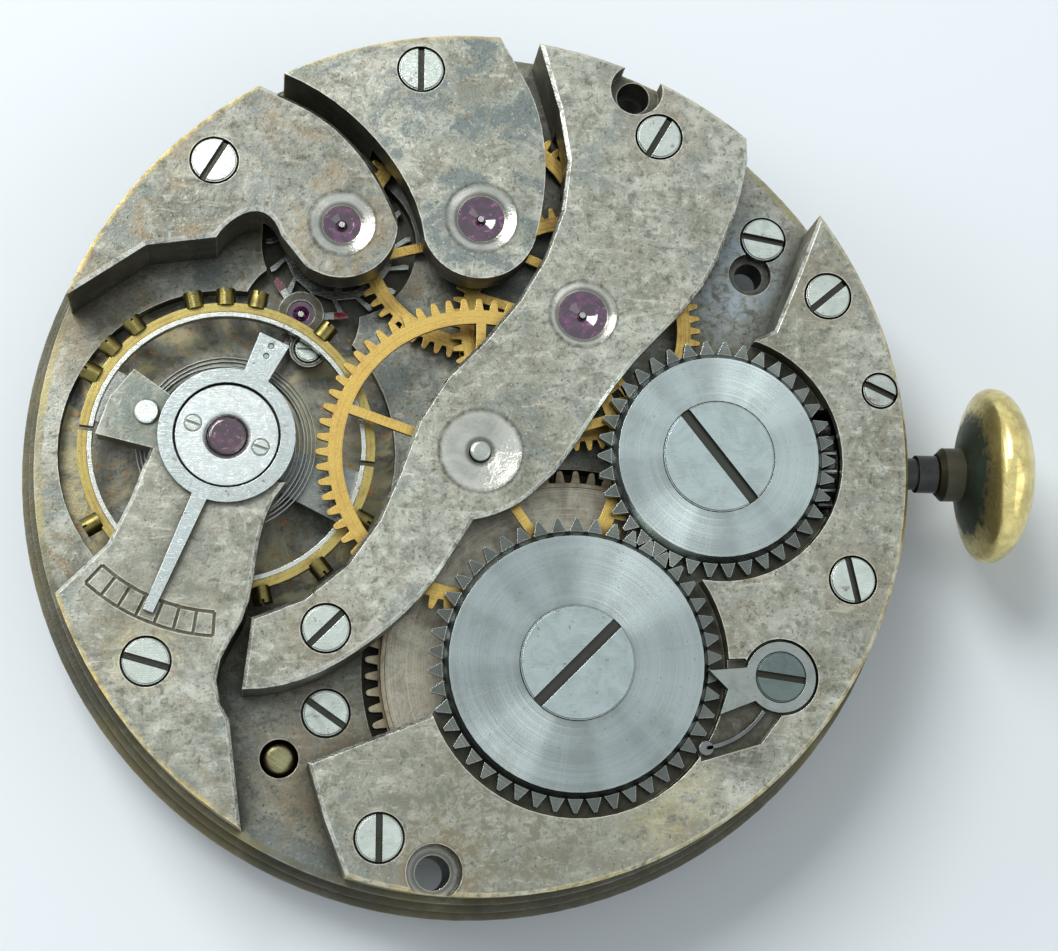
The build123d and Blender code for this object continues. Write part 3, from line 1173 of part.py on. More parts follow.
with BuildPart() as barrel_arbor:
    square_low, square_top = WINDING_WHEEL_LOW - END_SHAKE, ratchet_head_low - SEAT_FIT
    disc(BARREL_ARBOR_R, POST_END_Z, square_low, BARREL)
    disc(BARREL_CORE_R, cavity_low + END_SHAKE, cavity_top - END_SHAKE, BARREL)
    with Locations((*BARREL, square_low)):
        Box(BARREL_SQUARE, BARREL_SQUARE, square_top - square_low, align=UP)
    disc(RATCHET_SHANK_R + SCREW_FIT, BARREL_BRIDGE_Z, BRIDGE_TOP, BARREL, Mode.SUBTRACT)
write(barrel_arbor, "barrel_arbor")


def winding_wheel(teeth, pitch, turn, at):
    """A winding wheel with pointed teeth, a bevelled disc and a seat for its screw."""
    root, tip = pitch - WINDING_ROOT_SHARE * winding_module, pitch + WINDING_TIP_SHARE * winding_module
    prism(pointed_points(teeth, root, tip, turn), WINDING_WHEEL_LOW, WINDING_TEETH_TOP, at)
    with Locations((*at, WINDING_TEETH_TOP)):
        Cone(root, root - RIM_BEVEL, WINDING_WHEEL_TOP - WINDING_TEETH_TOP, align=UP)


with BuildPart() as ratchet_wheel:
    winding_wheel(RATCHET_TEETH, ratchet_pitch, ratchet_turn, BARREL)
    disc(WINDING_SCREW_R + SEAT_FIT, ratchet_head_low - SEAT_FIT, BRIDGE_TOP + OVERRUN, BARREL, Mode.SUBTRACT)
    square = BARREL_SQUARE + 2 * SEAT_FIT
    with Locations((*BARREL, WINDING_WHEEL_LOW - OVERRUN)):
        Box(square, square, BRIDGE_TOP, align=UP, mode=Mode.SUBTRACT)
write(ratchet_wheel, "ratchet_wheel")

with BuildPart() as ratchet_screw:
    screw(BARREL, WINDING_WHEEL_TOP + RATCHET_HEAD_RISE, WINDING_SCREW_R, WINDING_HEAD_T,
          RATCHET_SHANK_R, BARREL_BRIDGE_Z + SCREW_FIT, RATCHET_SLOT_TURN, WIDE_SLOT_W)
write(ratchet_screw, "ratchet_screw")

with BuildPart() as crown_wheel:
    winding_wheel(CROWN_WHEEL_TEETH, crown_pitch, 0, CROWN_WHEEL)
    hole_through(CROWN_CORE_R + RUN_FIT, WINDING_WHEEL_LOW, BRIDGE_TOP, CROWN_WHEEL)
    disc(WINDING_SCREW_R + RUN_FIT, crown_head_low - RUN_FIT, BRIDGE_TOP + OVERRUN, CROWN_WHEEL,
         Mode.SUBTRACT)
write(crown_wheel, "crown_wheel")

# Click
with BuildPart() as click:
    disc(CLICK_R, CLICK_Z, BRIDGE_TOP, CLICK)
    beaks = [place(CLICK_BEAK_R, angle, CLICK) for angle in CLICK_BEAK_ANGLES]
    neck = [place(CLICK_R, angle, CLICK) for angle in CLICK_NECK_ANGLES]
    notch = place(CLICK_NOTCH_R, sum(CLICK_BEAK_ANGLES) / 2, CLICK)
    prism([neck[0], beaks[0], notch, beaks[1], neck[1]], CLICK_Z, BRIDGE_TOP)
    hole_through(CLICK_SHANK_R + RUN_FIT, CLICK_Z, BRIDGE_TOP, CLICK)
    disc(CLICK_SCREW_R + RUN_FIT, click_head_low, BRIDGE_TOP + OVERRUN, CLICK, Mode.SUBTRACT)
write(click, "click")

with BuildPart() as click_spring:
    strip(scaled(CLICK_SPRING_SHARES), CLICK_SPRING_T, CLICK_RECESS_Z, CLICK_RECESS_Z + CLICK_SPRING_H)
    disc(CLICK_SPRING_FOOT_R, CLICK_RECESS_Z, CLICK_RECESS_Z + CLICK_SPRING_H, scaled(CLICK_SPRING_SHARES)[0])
write(click_spring, "click_spring")

# Going train
with BuildPart() as centre_wheel:
    wheel(CENTRE_TEETH, centre_pitch, centre_module, CENTRE_WHEEL_Z, CENTRE, 0, CENTRE_ARM_TURN,
          CENTRE_HUB_R, CENTRE_SEAT_R)
write(centre_wheel, "centre_wheel")

with BuildPart() as centre_arbor:
    leaves(CENTRE_PINION_TEETH, centre_leaf_pitch, barrel_module, CENTRE_LEAVES, CENTRE, 0)
    disc(CENTRE_ARBOR_R, MOTION_FLOOR, CENTRE_WHEEL_Z, CENTRE)
    disc(CENTRE_SEAT_R, CENTRE_WHEEL_Z, CENTRE_WHEEL_Z + WHEEL_T, CENTRE)
    disc(CENTRE_PIVOT_R, CENTRE_WHEEL_Z, BRIDGE_TOP + CENTRE_PIVOT_RISE, CENTRE)
    fillet(centre_arbor.faces().sort_by(Axis.Z)[-1].edges(), CENTRE_PIVOT_ROUND)
    disc(CENTRE_POST_R, CENTRE_POST_LOW, MOTION_FLOOR, CENTRE)
write(centre_arbor, "centre_arbor")

with BuildPart() as cannon_pinion:
    round_gear(CANNON_TEETH, cannon_pitch, motion_module, CANNON_LEAF_Z, CANNON_TOP, CENTRE, 0, CENTRE_POST_R)
    disc(CANNON_R, CANNON_LOW + CANNON_SEAT, CANNON_LEAF_Z, CENTRE)
    disc(CANNON_SEAT_R, CANNON_LOW, CANNON_LOW + CANNON_SEAT, CENTRE)
    hole_through(CENTRE_POST_R + SEAT_FIT, CANNON_LOW, CANNON_TOP, CENTRE)
write(cannon_pinion, "cannon_pinion")

with BuildPart() as third_wheel:
    wheel(THIRD_TEETH, third_pitch, third_module, THIRD_WHEEL_Z, THIRD, 0, THIRD_ARM_TURN)
write(third_wheel, "third_wheel")

with BuildPart() as third_arbor:
    leaves(THIRD_PINION_TEETH, third_leaf_pitch, centre_module, THIRD_LEAVES, THIRD, third_leaf_turn)
    arbor(THIRD, THIRD_WHEEL_Z, (plate_jewel_top + END_SHAKE, jewel_low - END_SHAKE),
          (plate_jewel_top - JEWEL_T, jewel_top))
    disc(HUB_R, THIRD_WHEEL_Z - HUB_T, THIRD_WHEEL_Z, THIRD)
write(third_arbor, "third_arbor")

with BuildPart() as fourth_wheel:
    wheel(FOURTH_TEETH, fourth_pitch, fourth_module, FOURTH_WHEEL_Z, FOURTH, 0, FOURTH_ARM_TURN)
write(fourth_wheel, "fourth_wheel")

with BuildPart() as fourth_arbor:
    leaves(FOURTH_PINION_TEETH, fourth_leaf_pitch, third_module, FOURTH_LEAVES, FOURTH, fourth_leaf_turn)
    arbor(FOURTH, FOURTH_WHEEL_Z, (plate_jewel_top + END_SHAKE, jewel_low - END_SHAKE),
          (plate_jewel_top, jewel_top))
    disc(SECONDS_PIVOT_R, -SECONDS_PIVOT_DROP, plate_jewel_top + END_SHAKE, FOURTH)
    disc(HUB_R, FOURTH_WHEEL_Z - HUB_T, FOURTH_WHEEL_Z, FOURTH)
write(fourth_arbor, "fourth_arbor")

# Escapement
with BuildPart() as escape_wheel:
    step = 360 / ESCAPE_TEETH
    heel_share = ESCAPE_LEAN_SHARE + ESCAPE_CLUB_SHARE
    tooth = ((ESCAPE_ROOT_SHARE, 0), (1, ESCAPE_LEAN_SHARE), (1, heel_share), (ESCAPE_HEEL_SHARE, heel_share),
             (ESCAPE_ROOT_SHARE, ESCAPE_BASE_SHARE))
    prism([place(ESCAPE_R * r, step * (count + a)) for count in range(ESCAPE_TEETH) for r, a in tooth],
          ESCAPE_WHEEL_Z, ESCAPE_WHEEL_Z + ESCAPE_T, ESCAPE)
    arm_windows(ESCAPE_R * ESCAPE_RIM_SHARE, HUB_R, ESCAPE_ARMS, ESCAPE_ARM_W, ESCAPE_WHEEL_Z,
                ESCAPE_WHEEL_Z + ESCAPE_T, ESCAPE, 0)
    hole_through(SEAT_R + SEAT_FIT, ESCAPE_WHEEL_Z, ESCAPE_WHEEL_Z, ESCAPE)
write(escape_wheel, "escape_wheel")

with BuildPart() as escape_arbor:
    leaves(ESCAPE_PINION_TEETH, escape_leaf_pitch, fourth_module, ESCAPE_LEAVES, ESCAPE, escape_leaf_turn)
    arbor(ESCAPE, ESCAPE_WHEEL_Z, (floor_jewel_top + END_SHAKE, jewel_low - END_SHAKE),
          (floor_jewel_top - JEWEL_T, jewel_top))
    disc(HUB_R, ESCAPE_WHEEL_Z + ESCAPE_T, ESCAPE_WHEEL_Z + ESCAPE_T + HUB_T, ESCAPE)
write(escape_arbor, "escape_arbor")

# Pallets, drawn along +X towards the balance and then turned
fork_end = gap(PALLET, BALANCE) - IMPULSE_RADIUS + FORK_LAP
stones = ((-STONE_BACK, STONE_SIDE), (-STONE_BACK, -STONE_SIDE))
with BuildPart() as pallet_fork:
    lever = (
        (0, -LEVER_W / 2), (fork_end - FORK_LONG, -LEVER_W / 2), (fork_end - FORK_LONG / 2, -FORK_W / 2),
        (fork_end, -FORK_W / 2), (fork_end, -FORK_SLOT_W / 2), (fork_end - FORK_SLOT, -FORK_SLOT_W / 2),
        (fork_end - FORK_SLOT, FORK_SLOT_W / 2), (fork_end, FORK_SLOT_W / 2), (fork_end, FORK_W / 2),
        (fork_end - FORK_LONG / 2, FORK_W / 2), (fork_end - FORK_LONG, LEVER_W / 2), (0, LEVER_W / 2),
    )
    prism(turned(lever, PALLET, PALLET_LINE), PALLET_Z, PALLET_Z + PALLET_T)
    for stone in stones:
        reach = gap(CENTRE, stone)
        turn = PALLET_LINE + heading(CENTRE, stone)
        prism(turned(bar(0, reach, PALLET_ARM_W), PALLET, turn), PALLET_Z, PALLET_Z + PALLET_T)
        slot = turned(bar(reach - STONE_LAP, reach + OVERRUN, STONE_W + 2 * SEAT_FIT), PALLET, turn)
        prism(slot, PALLET_Z - OVERRUN, PALLET_Z + OVERRUN, mode=Mode.SUBTRACT)
    disc(HUB_R, PALLET_Z, PALLET_Z + PALLET_T, PALLET)
    disc(PIVOT_R, floor_jewel_top - JEWEL_T, PALLET_COCK_TOP - PALLET_JEWEL_DOWN, PALLET)
    disc(ARBOR_R, floor_jewel_top + END_SHAKE, PALLET_COCK_LOW + PALLET_JEWEL_DOWN - END_SHAKE, PALLET)
    guard = place(fork_end - FORK_SLOT - GUARD_BACK, PALLET_LINE, PALLET)
    disc(GUARD_R, PALLET_Z, GUARD_TOP, guard)
write(pallet_fork, "pallet_fork")

with BuildPart() as pallet_stones:
    for stone in stones:
        reach = gap(CENTRE, stone)
        back, front = reach - STONE_LAP + SEAT_FIT, reach + STONE_OUT
        outline = [(back, -STONE_W / 2), (front, -STONE_W / 2), (front - STONE_W / 2, STONE_W / 2),
                   (back, STONE_W / 2)]
        prism(turned(outline, PALLET, PALLET_LINE + heading(CENTRE, stone)), PALLET_Z, PALLET_Z + PALLET_T)
write(pallet_stones, "pallet_stones")

# Balance
def outward(radius, angle):
    """A plane on the balance rim that faces straight out."""
    at = place(radius, angle, BALANCE)
    return Plane((*at, (BALANCE_LOW + BALANCE_TOP) / 2), x_dir=(0, 0, 1), z_dir=(*place(1, angle), 0))


def cut_rim():
    """Cuts the rim next to each end of the arm."""
    for half in (0, 180):
        cut = turned(bar(BALANCE_INNER_R - RIM_CUT_W, BALANCE_R + OVERRUN, RIM_CUT_W), BALANCE,
                     BALANCE_ARM_ANGLE + RIM_CUT_TURN + half)
        prism(cut, BALANCE_LOW - OVERRUN, BALANCE_TOP + OVERRUN, mode=Mode.SUBTRACT)


with BuildPart() as balance_wheel:
    disc(BALANCE_STEEL_R, BALANCE_LOW, BALANCE_TOP, BALANCE)
    hole_through(BALANCE_INNER_R, BALANCE_LOW, BALANCE_TOP, BALANCE)
    arm_end = (BALANCE_INNER_R + BALANCE_STEEL_R) / 2
    arm = ((0, -BALANCE_ARM_W / 2), (BALANCE_INNER_R, -BALANCE_ARM_END_W / 2), (arm_end, 0),
           (BALANCE_INNER_R, BALANCE_ARM_END_W / 2), (0, BALANCE_ARM_W / 2))
    for half in (0, 180):
        prism(turned(arm, BALANCE, BALANCE_ARM_ANGLE + half), BALANCE_ARM_Z, BALANCE_ARM_Z + BALANCE_ARM_T)
    disc(BALANCE_HUB_R, BALANCE_ARM_Z, BALANCE_ARM_Z + BALANCE_ARM_T, BALANCE)
    disc(STAFF_SEAT_R + SEAT_FIT, BALANCE_LOW, BALANCE_TOP, BALANCE, Mode.SUBTRACT)
    cut_rim()
write(balance_wheel, "balance_wheel")

with BuildPart() as balance_rim:
    disc(BALANCE_R, BALANCE_LOW, BALANCE_TOP, BALANCE)
    hole_through(BALANCE_STEEL_R + SEAT_FIT, BALANCE_LOW, BALANCE_TOP, BALANCE)
    for angle in BALANCE_SCREW_ANGLES:
        with Locations(outward(BALANCE_R, angle)):
            Cylinder(BALANCE_SCREW_R + SEAT_FIT, 2 * OVERRUN, mode=Mode.SUBTRACT)
            Cylinder(BALANCE_SCREW_HEAD_R + SEAT_FIT, 2 * BALANCE_SCREW_SINK, mode=Mode.SUBTRACT)
    cut_rim()
write(balance_rim, "balance_rim")

with BuildPart() as balance_screws:
    for angle in BALANCE_SCREW_ANGLES:
        with Locations(outward(BALANCE_STEEL_R + 2 * SEAT_FIT, angle)):
            Cylinder(BALANCE_SCREW_R, BALANCE_R - BALANCE_STEEL_R - 2 * SEAT_FIT, align=UP)
        with Locations(outward(BALANCE_R - BALANCE_SCREW_SINK, angle)):
            Cylinder(BALANCE_SCREW_HEAD_R, BALANCE_SCREW_HEAD_T, align=UP)
        with Locations(outward(BALANCE_R - BALANCE_SCREW_SINK + BALANCE_SCREW_HEAD_T, angle)):
            Box(3 * BALANCE_SCREW_HEAD_R, BALANCE_SLOT_W, 2 * BALANCE_SLOT_DEPTH, mode=Mode.SUBTRACT)
write(balance_screws, "balance_screws")

with BuildPart() as balance_staff:
    disc(STAFF_PIVOT_R, lower_cap_top + SCREW_FIT, balance_jewel_top + SCREW_FIT, BALANCE)
    disc(STAFF_R, lower_hole_top + END_SHAKE, balance_jewel_top - BALANCE_JEWEL_T - END_SHAKE, BALANCE)
    disc(STAFF_SEAT_R, BALANCE_ARM_Z, BALANCE_ARM_Z + BALANCE_ARM_T, BALANCE)
    disc(STAFF_FLANGE_R, BALANCE_ARM_Z - STAFF_FLANGE_T, BALANCE_ARM_Z, BALANCE)
write(balance_staff, "balance_staff")

impulse_line = PALLET_LINE + 180
impulse_place = place(IMPULSE_RADIUS, impulse_line, BALANCE)
bite_place = place(ROLLER_R + IMPULSE_R, impulse_line, BALANCE)
with BuildPart() as roller:
    disc(ROLLER_R, ROLLER_Z, ROLLER_Z + ROLLER_T, BALANCE)
    hole_through(STAFF_R + SEAT_FIT, ROLLER_Z, ROLLER_Z, BALANCE)
    hole_through(ROLLER_BITE_R, ROLLER_Z, ROLLER_Z, bite_place)
    hole_through(IMPULSE_R + SEAT_FIT, ROLLER_Z, ROLLER_Z, impulse_place)
write(roller, "roller")

with BuildPart() as impulse_jewel:
    disc(IMPULSE_R, PALLET_Z + PALLET_T + CONTACT_GAP, ROLLER_Z + ROLLER_T, impulse_place)
write(impulse_jewel, "impulse_jewel")

with BuildPart() as hairspring:
    overcoil_end = STUD_ANGLE - degrees((STUD_R + SCREW_FIT) / STUD_RADIUS)
    rise = ((HAIRSPRING_OUT_R, HAIRSPRING_END_ANGLE),
            ((HAIRSPRING_OUT_R + OVERCOIL_R) / 2, (HAIRSPRING_END_ANGLE + OVERCOIL_START_ANGLE) / 2),
            (OVERCOIL_R, OVERCOIL_START_ANGLE))
    sweep_in = ((OVERCOIL_R, OVERCOIL_START_ANGLE), (OVERCOIL_R, CURB_ANGLE), (STUD_RADIUS, overcoil_end))
    outer, inside = [
        [[place(radius + side, angle, BALANCE) for radius, angle in run] for run in (rise, sweep_in)]
        for side in (HAIRSPRING_T / 2, -HAIRSPRING_T / 2)
    ]
    overcoil = [*outer, [outer[1][2], inside[1][2]], inside[1][::-1], inside[0][::-1]]
    slab(overcoil, OVERCOIL_Z, OVERCOIL_Z + OVERCOIL_H)
    spiral_strip(HAIRSPRING_IN_R, HAIRSPRING_OUT_R, HAIRSPRING_TURNS, HAIRSPRING_T, HAIRSPRING_Z,
                 HAIRSPRING_Z + HAIRSPRING_H, BALANCE, HAIRSPRING_END_ANGLE)
    post = [place(HAIRSPRING_OUT_R + side, HAIRSPRING_END_ANGLE + a, BALANCE)
            for side, a in ((-HAIRSPRING_T / 2, -RISER_ANGLE), (HAIRSPRING_T / 2, -RISER_ANGLE),
                            (HAIRSPRING_T / 2, RISER_ANGLE), (-HAIRSPRING_T / 2, RISER_ANGLE))]
    prism(post, HAIRSPRING_Z, OVERCOIL_Z + OVERCOIL_H)
    disc(COLLET_R, COLLET_Z, COLLET_TOP, BALANCE)
    hole_through(STAFF_R + SEAT_FIT, COLLET_Z, COLLET_TOP, BALANCE)
write(hairspring, "hairspring")
print("hairspring least gap",
      round(least_gap(HAIRSPRING_IN_R, HAIRSPRING_OUT_R, HAIRSPRING_TURNS, HAIRSPRING_T), 3))

regulator_low = BRIDGE_TOP + REGULATOR_LIFT
regulator_top = regulator_low + REGULATOR_T
with BuildPart() as regulator:
    disc(REGULATOR_R, regulator_low, regulator_top, BALANCE)
    for inner_w, outer_w, start, end, angle in (
        (REGULATOR_TAIL_W, REGULATOR_TAIL_END_W, REGULATOR_BORE_R, REGULATOR_TAIL_R, REGULATOR_TAIL_ANGLE),
        (CURB_NECK_W, CURB_BLOCK_W, REGULATOR_BORE_R, CURB_BLOCK_R, CURB_ANGLE),
    ):
        outline = ((start, -inner_w / 2), (end, -outer_w / 2), (end, outer_w / 2), (start, inner_w / 2))
        prism(turned(outline, BALANCE, angle), regulator_low, regulator_top)
    hole_through(REGULATOR_BORE_R, regulator_low, regulator_top, BALANCE)
    for side in (-CURB_PIN_GAP, CURB_PIN_GAP):
        disc(CURB_PIN_R, CURB_PIN_LOW, regulator_top, place(OVERCOIL_R + side, CURB_ANGLE, BALANCE))
    for radius in CURB_PIT_RADII:
        pit = place(radius, CURB_ANGLE, BALANCE)
        disc(CURB_PIT_R, regulator_top - CURB_PIT, regulator_top + OVERRUN, pit, Mode.SUBTRACT)
write(regulator, "regulator")

# Stem and crown
with BuildPart() as winding_stem:
    stem_disc(PILOT_R, PILOT_X, SQUARE_X)
    with Locations((SQUARE_X, 0, STEM_Z)):
        Box(SQUARE_END_X - SQUARE_X, SQUARE_W, SQUARE_W, align=(Align.MIN, Align.CENTER, Align.CENTER))
    stem_disc(STEM_R, SQUARE_END_X, STEM_GROOVE_X - STEM_GROOVE_W / 2)
    stem_disc(STEM_GROOVE_R, STEM_GROOVE_X - STEM_GROOVE_W / 2, STEM_GROOVE_X + STEM_GROOVE_W / 2)
    stem_disc(STEM_R, STEM_GROOVE_X + STEM_GROOVE_W / 2, STEM_COLLAR_X)
    stem_disc(STEM_COLLAR_R, STEM_COLLAR_X, STEM_THREAD_X)
    stem_disc(STEM_THREAD_R, STEM_THREAD_X, STEM_END_X)
write(winding_stem, "winding_stem")

with BuildPart() as crown:
    neck_top = STEM_Z + CROWN_NECK_R
    shoulder = (CROWN_SHOULDER_X, STEM_Z + CROWN_SHOULDER_R)
    crest = (CROWN_CREST_X, STEM_Z + CROWN_R)
    with BuildSketch(Plane.XZ):
        with BuildLine():
            Polyline((CROWN_END_X, STEM_Z), (CROWN_NECK_X, STEM_Z),
                     (CROWN_NECK_X, neck_top - CROWN_NECK_ROUND), (CROWN_NECK_X + CROWN_NECK_ROUND, neck_top),
                     (CROWN_FACE_X, neck_top), shoulder)
            Spline(shoulder, crest, tangents=(
                (CROWN_SHOULDER_X - CROWN_FACE_X, CROWN_SHOULDER_R - CROWN_NECK_R), (CROWN_R, 0),
            ))
            EllipticalCenterArc((CROWN_CREST_X, STEM_Z), CROWN_END_X - CROWN_CREST_X, CROWN_R)
        make_face()
    revolve(axis=Axis((0, 0, STEM_Z), (1, 0, 0)))
    stem_disc(STEM_THREAD_R + SEAT_FIT, CROWN_NECK_X - OVERRUN, STEM_END_X + SEAT_FIT, Mode.SUBTRACT)
write(crown, "crown")

with BuildPart() as winding_pinion:
    root, tip = WINDING_PITCH_R - WINDING_TOOTH_ROOT, WINDING_PITCH_R + WINDING_TOOTH_TIP
    teeth = gear_points(WINDING_TEETH, root, tip, *LEAF_SHARES, 90 + 180 / WINDING_TEETH)
    prism(teeth, WINDING_TOOTH_X, WINDING_TOOTH_X + WINDING_TOOTH_T, (0, STEM_Z), plane=Plane.YZ)
    stem_disc(WINDING_HUB_R, WINDING_PINION_X, WINDING_PINION_X + WINDING_PINION_T)
    face_teeth(WINDING_PINION_X - DOG_T + DOG_GAP, WINDING_PINION_X, DOG_COUNT, DOG_CENTRE_R, DOG_LONG, DOG_W,
               180 / DOG_COUNT)
    stem_disc(STEM_R + RUN_FIT, WINDING_PINION_X - OVERRUN, WINDING_PINION_X + WINDING_PINION_T + OVERRUN,
              Mode.SUBTRACT)
write(winding_pinion, "winding_pinion")

with BuildPart() as sliding_pinion:
    body_end = CLUTCH_END_X - DOG_T
    groove_low, groove_high = CLUTCH_GROOVE_X - CLUTCH_GROOVE_W / 2, CLUTCH_GROOVE_X + CLUTCH_GROOVE_W / 2
    stem_disc(CLUTCH_R, CLUTCH_BODY_X, groove_low)
    stem_disc(CLUTCH_GROOVE_R, groove_low, groove_high)
    stem_disc(CLUTCH_R, groove_high, body_end)
    face_teeth(CLUTCH_X, CLUTCH_BODY_X, FACE_TOOTH_COUNT, CLUTCH_R - FACE_TOOTH_LONG / 2, FACE_TOOTH_LONG,
               FACE_TOOTH_W, 0)
    face_teeth(body_end, CLUTCH_END_X, DOG_COUNT, DOG_CENTRE_R, DOG_LONG, DOG_W, 0)
    square = SQUARE_W + 2 * RUN_FIT
    with Locations((CLUTCH_X, 0, STEM_Z)):
        Box(2 * CLUTCH_END_X, square, square, mode=Mode.SUBTRACT)
write(sliding_pinion, "sliding_pinion")

# Keyless works
with BuildPart() as setting_lever:
    pin = (STEM_GROOVE_X, 0)
    reach = gap(LEVER, pin)
    prism(turned(bar(0, reach, LEVER_ARM_W), LEVER, heading(LEVER, pin)), LEVER_LOW, LEVER_TOP)
    disc(LEVER_EYE_R, LEVER_LOW, LEVER_TOP, LEVER)
    disc(LEVER_ARM_W / 2, LEVER_LOW, LEVER_TOP, pin)
    disc(LEVER_PIN_R, LEVER_TOP, LEVER_PIN_TOP, pin)
    hole_through(LEVER_SHANK_R + RUN_FIT, LEVER_LOW, LEVER_TOP, LEVER)
write(setting_lever, "setting_lever")

with BuildPart() as yoke:
    neck = (CLUTCH_GROOVE_X, YOKE_NECK_Y + YOKE_ARM_W / 2)
    reach = gap(YOKE, neck)
    prism(turned(bar(0, reach, YOKE_ARM_W), YOKE, heading(YOKE, neck)), YOKE_LOW, YOKE_TOP)
    disc(YOKE_ARM_W / 2, YOKE_LOW, YOKE_TOP, neck)
    disc(YOKE_EYE_R, YOKE_LOW, YOKE_TOP, YOKE)
    half_nib = YOKE_NIB_W / 2
    block(CLUTCH_GROOVE_X - half_nib, CLUTCH_GROOVE_X + half_nib, YOKE_NIB_Y, neck[1], YOKE_LOW, YOKE_TOP)
    hole_through(YOKE_PIN_R + RUN_FIT, YOKE_LOW, YOKE_TOP, YOKE)
write(yoke, "yoke")

with BuildPart() as yoke_spring:
    foot = scaled(YOKE_SPRING_SHARES)[0]
    strip(scaled(YOKE_SPRING_SHARES), YOKE_SPRING_T, YOKE_LOW, YOKE_LOW + YOKE_SPRING_H)
    disc(YOKE_SPRING_FOOT_R, YOKE_LOW, KEYLESS_FLOOR, foot)
write(yoke_spring, "yoke_spring")

with BuildPart() as setting_cover:
    prism(scaled(COVER_SHARES), 0, COVER_T)
    for at in scaled(COVER_SCREW_SHARES):
        disc(SMALL_SCREW_R + SCREW_FIT, -OVERRUN, COVER_HEAD_T + SCREW_FIT, at, Mode.SUBTRACT)
        disc(COVER_SHANK_R + SCREW_FIT, 0, COVER_T + OVERRUN, at, Mode.SUBTRACT)
write(setting_cover, "setting_cover")

# Motion works
with BuildPart() as setting_wheel:
    round_gear(SETTING_TEETH, setting_pitch, motion_module, SETTING_LOW, SETTING_TOP, SETTING, setting_turn,
               SETTING_POST_R + RUN_FIT)
write(setting_wheel, "setting_wheel")

with BuildPart() as minute_wheel:
    leaves(MINUTE_PINION_TEETH, minute_leaf_pitch, hour_module, (MINUTE_PINION_Z, MINUTE_WHEEL_Z), MINUTE,
           hour_leaf_turn)
    round_gear(MINUTE_TEETH, minute_pitch, motion_module, MINUTE_WHEEL_Z, MINUTE_WHEEL_Z + MINUTE_WHEEL_T,
               MINUTE, minute_turn, POST_R + RUN_FIT)
write(minute_wheel, "minute_wheel")

with BuildPart() as hour_wheel:
    disc(HOUR_PIPE_R, HOUR_PIPE_LOW, HOUR_WHEEL_Z, CENTRE)
    round_gear(HOUR_TEETH, hour_pitch, hour_module, HOUR_WHEEL_Z, HOUR_WHEEL_Z + HOUR_WHEEL_T, CENTRE, 0,
               CANNON_R + RUN_FIT)
    hole_through(CANNON_R + RUN_FIT, HOUR_PIPE_LOW, HOUR_WHEEL_Z, CENTRE)
write(hour_wheel, "hour_wheel")
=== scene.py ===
"""Finishes, wound springs, stage and camera for a hand-wound watch movement."""
import json
from math import cos, radians, sin

import bpy
from mathutils import Matrix, Vector


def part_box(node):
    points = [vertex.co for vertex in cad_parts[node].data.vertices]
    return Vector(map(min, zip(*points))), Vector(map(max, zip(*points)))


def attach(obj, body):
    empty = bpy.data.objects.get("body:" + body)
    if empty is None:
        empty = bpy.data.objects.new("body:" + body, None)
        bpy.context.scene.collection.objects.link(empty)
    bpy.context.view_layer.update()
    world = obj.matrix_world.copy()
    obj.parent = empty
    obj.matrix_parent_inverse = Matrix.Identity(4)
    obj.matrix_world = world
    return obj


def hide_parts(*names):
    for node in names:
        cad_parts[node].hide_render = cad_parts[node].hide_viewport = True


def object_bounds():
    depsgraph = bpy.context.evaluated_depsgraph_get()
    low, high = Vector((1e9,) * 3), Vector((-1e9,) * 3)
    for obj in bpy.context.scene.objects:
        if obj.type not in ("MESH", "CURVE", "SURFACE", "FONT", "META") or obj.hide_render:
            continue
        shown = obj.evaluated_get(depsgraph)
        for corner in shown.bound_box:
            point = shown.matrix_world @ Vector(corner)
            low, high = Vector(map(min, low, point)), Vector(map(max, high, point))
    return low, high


bl_info = {
    "name": "Watch movement finishes",
    "version": (1, 0, 0),
    "blender": (4, 5, 0),
    "location": "3D View > Sidebar > Movement",
    "description": "Gives a hand-wound watch movement its finishes, wound springs, stage and camera",
    "category": "Object",
}

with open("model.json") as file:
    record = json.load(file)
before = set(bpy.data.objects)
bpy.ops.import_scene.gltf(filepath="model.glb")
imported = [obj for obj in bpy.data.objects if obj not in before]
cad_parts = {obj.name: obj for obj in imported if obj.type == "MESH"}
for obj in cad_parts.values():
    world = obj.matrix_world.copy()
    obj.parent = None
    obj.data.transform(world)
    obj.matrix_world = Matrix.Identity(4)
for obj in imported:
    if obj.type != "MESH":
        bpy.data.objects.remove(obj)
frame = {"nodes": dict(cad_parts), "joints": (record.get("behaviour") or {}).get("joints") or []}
CAD_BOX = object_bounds()
MM = 0.001
JOINT_PLACES = {joint["child"]: joint.get("pos_m", (0, 0, 0)) for joint in frame["joints"]}
BARREL, BALANCE, CROWN_WHEEL, THIRD, FOURTH, ESCAPE, MINUTE, STEM = (
    Vector(JOINT_PLACES[body]) for body in (
        "barrel", "balance", "crown_wheel", "third", "fourth", "escape", "minute_wheel", "winding_pinion",
    )
)
CENTRE = Vector((0, 0, 0))
PLATE_TOP = 1.30 * MM
BRIDGE_TOP = 3.30 * MM
BRIDGE_RIM = 11.44 * MM
FLANGE_IN = 11.52 * MM
RECESS_R = 4.7 * MM
CASE_HOLE = Vector((-1.135, -10.955, 0)) * MM
SLOT_DEPTH = 0.05 * MM
CROWN_FILM_X = 13.78 * MM
PATH_POINTS = 5
FLOOR_SIZE = 1.2
SENSOR_WIDTH = 36.0
PHOTO_WIDTH_PX = 1058
FOCAL_LENGTH_PX = 2276.5


# Settings that a user may change
def colour(name, description, default):
    """A colour setting."""
    return bpy.props.FloatVectorProperty(
        name=name, description=description, default=default, size=3, min=0.0, max=1.0, subtype="COLOR",
    )


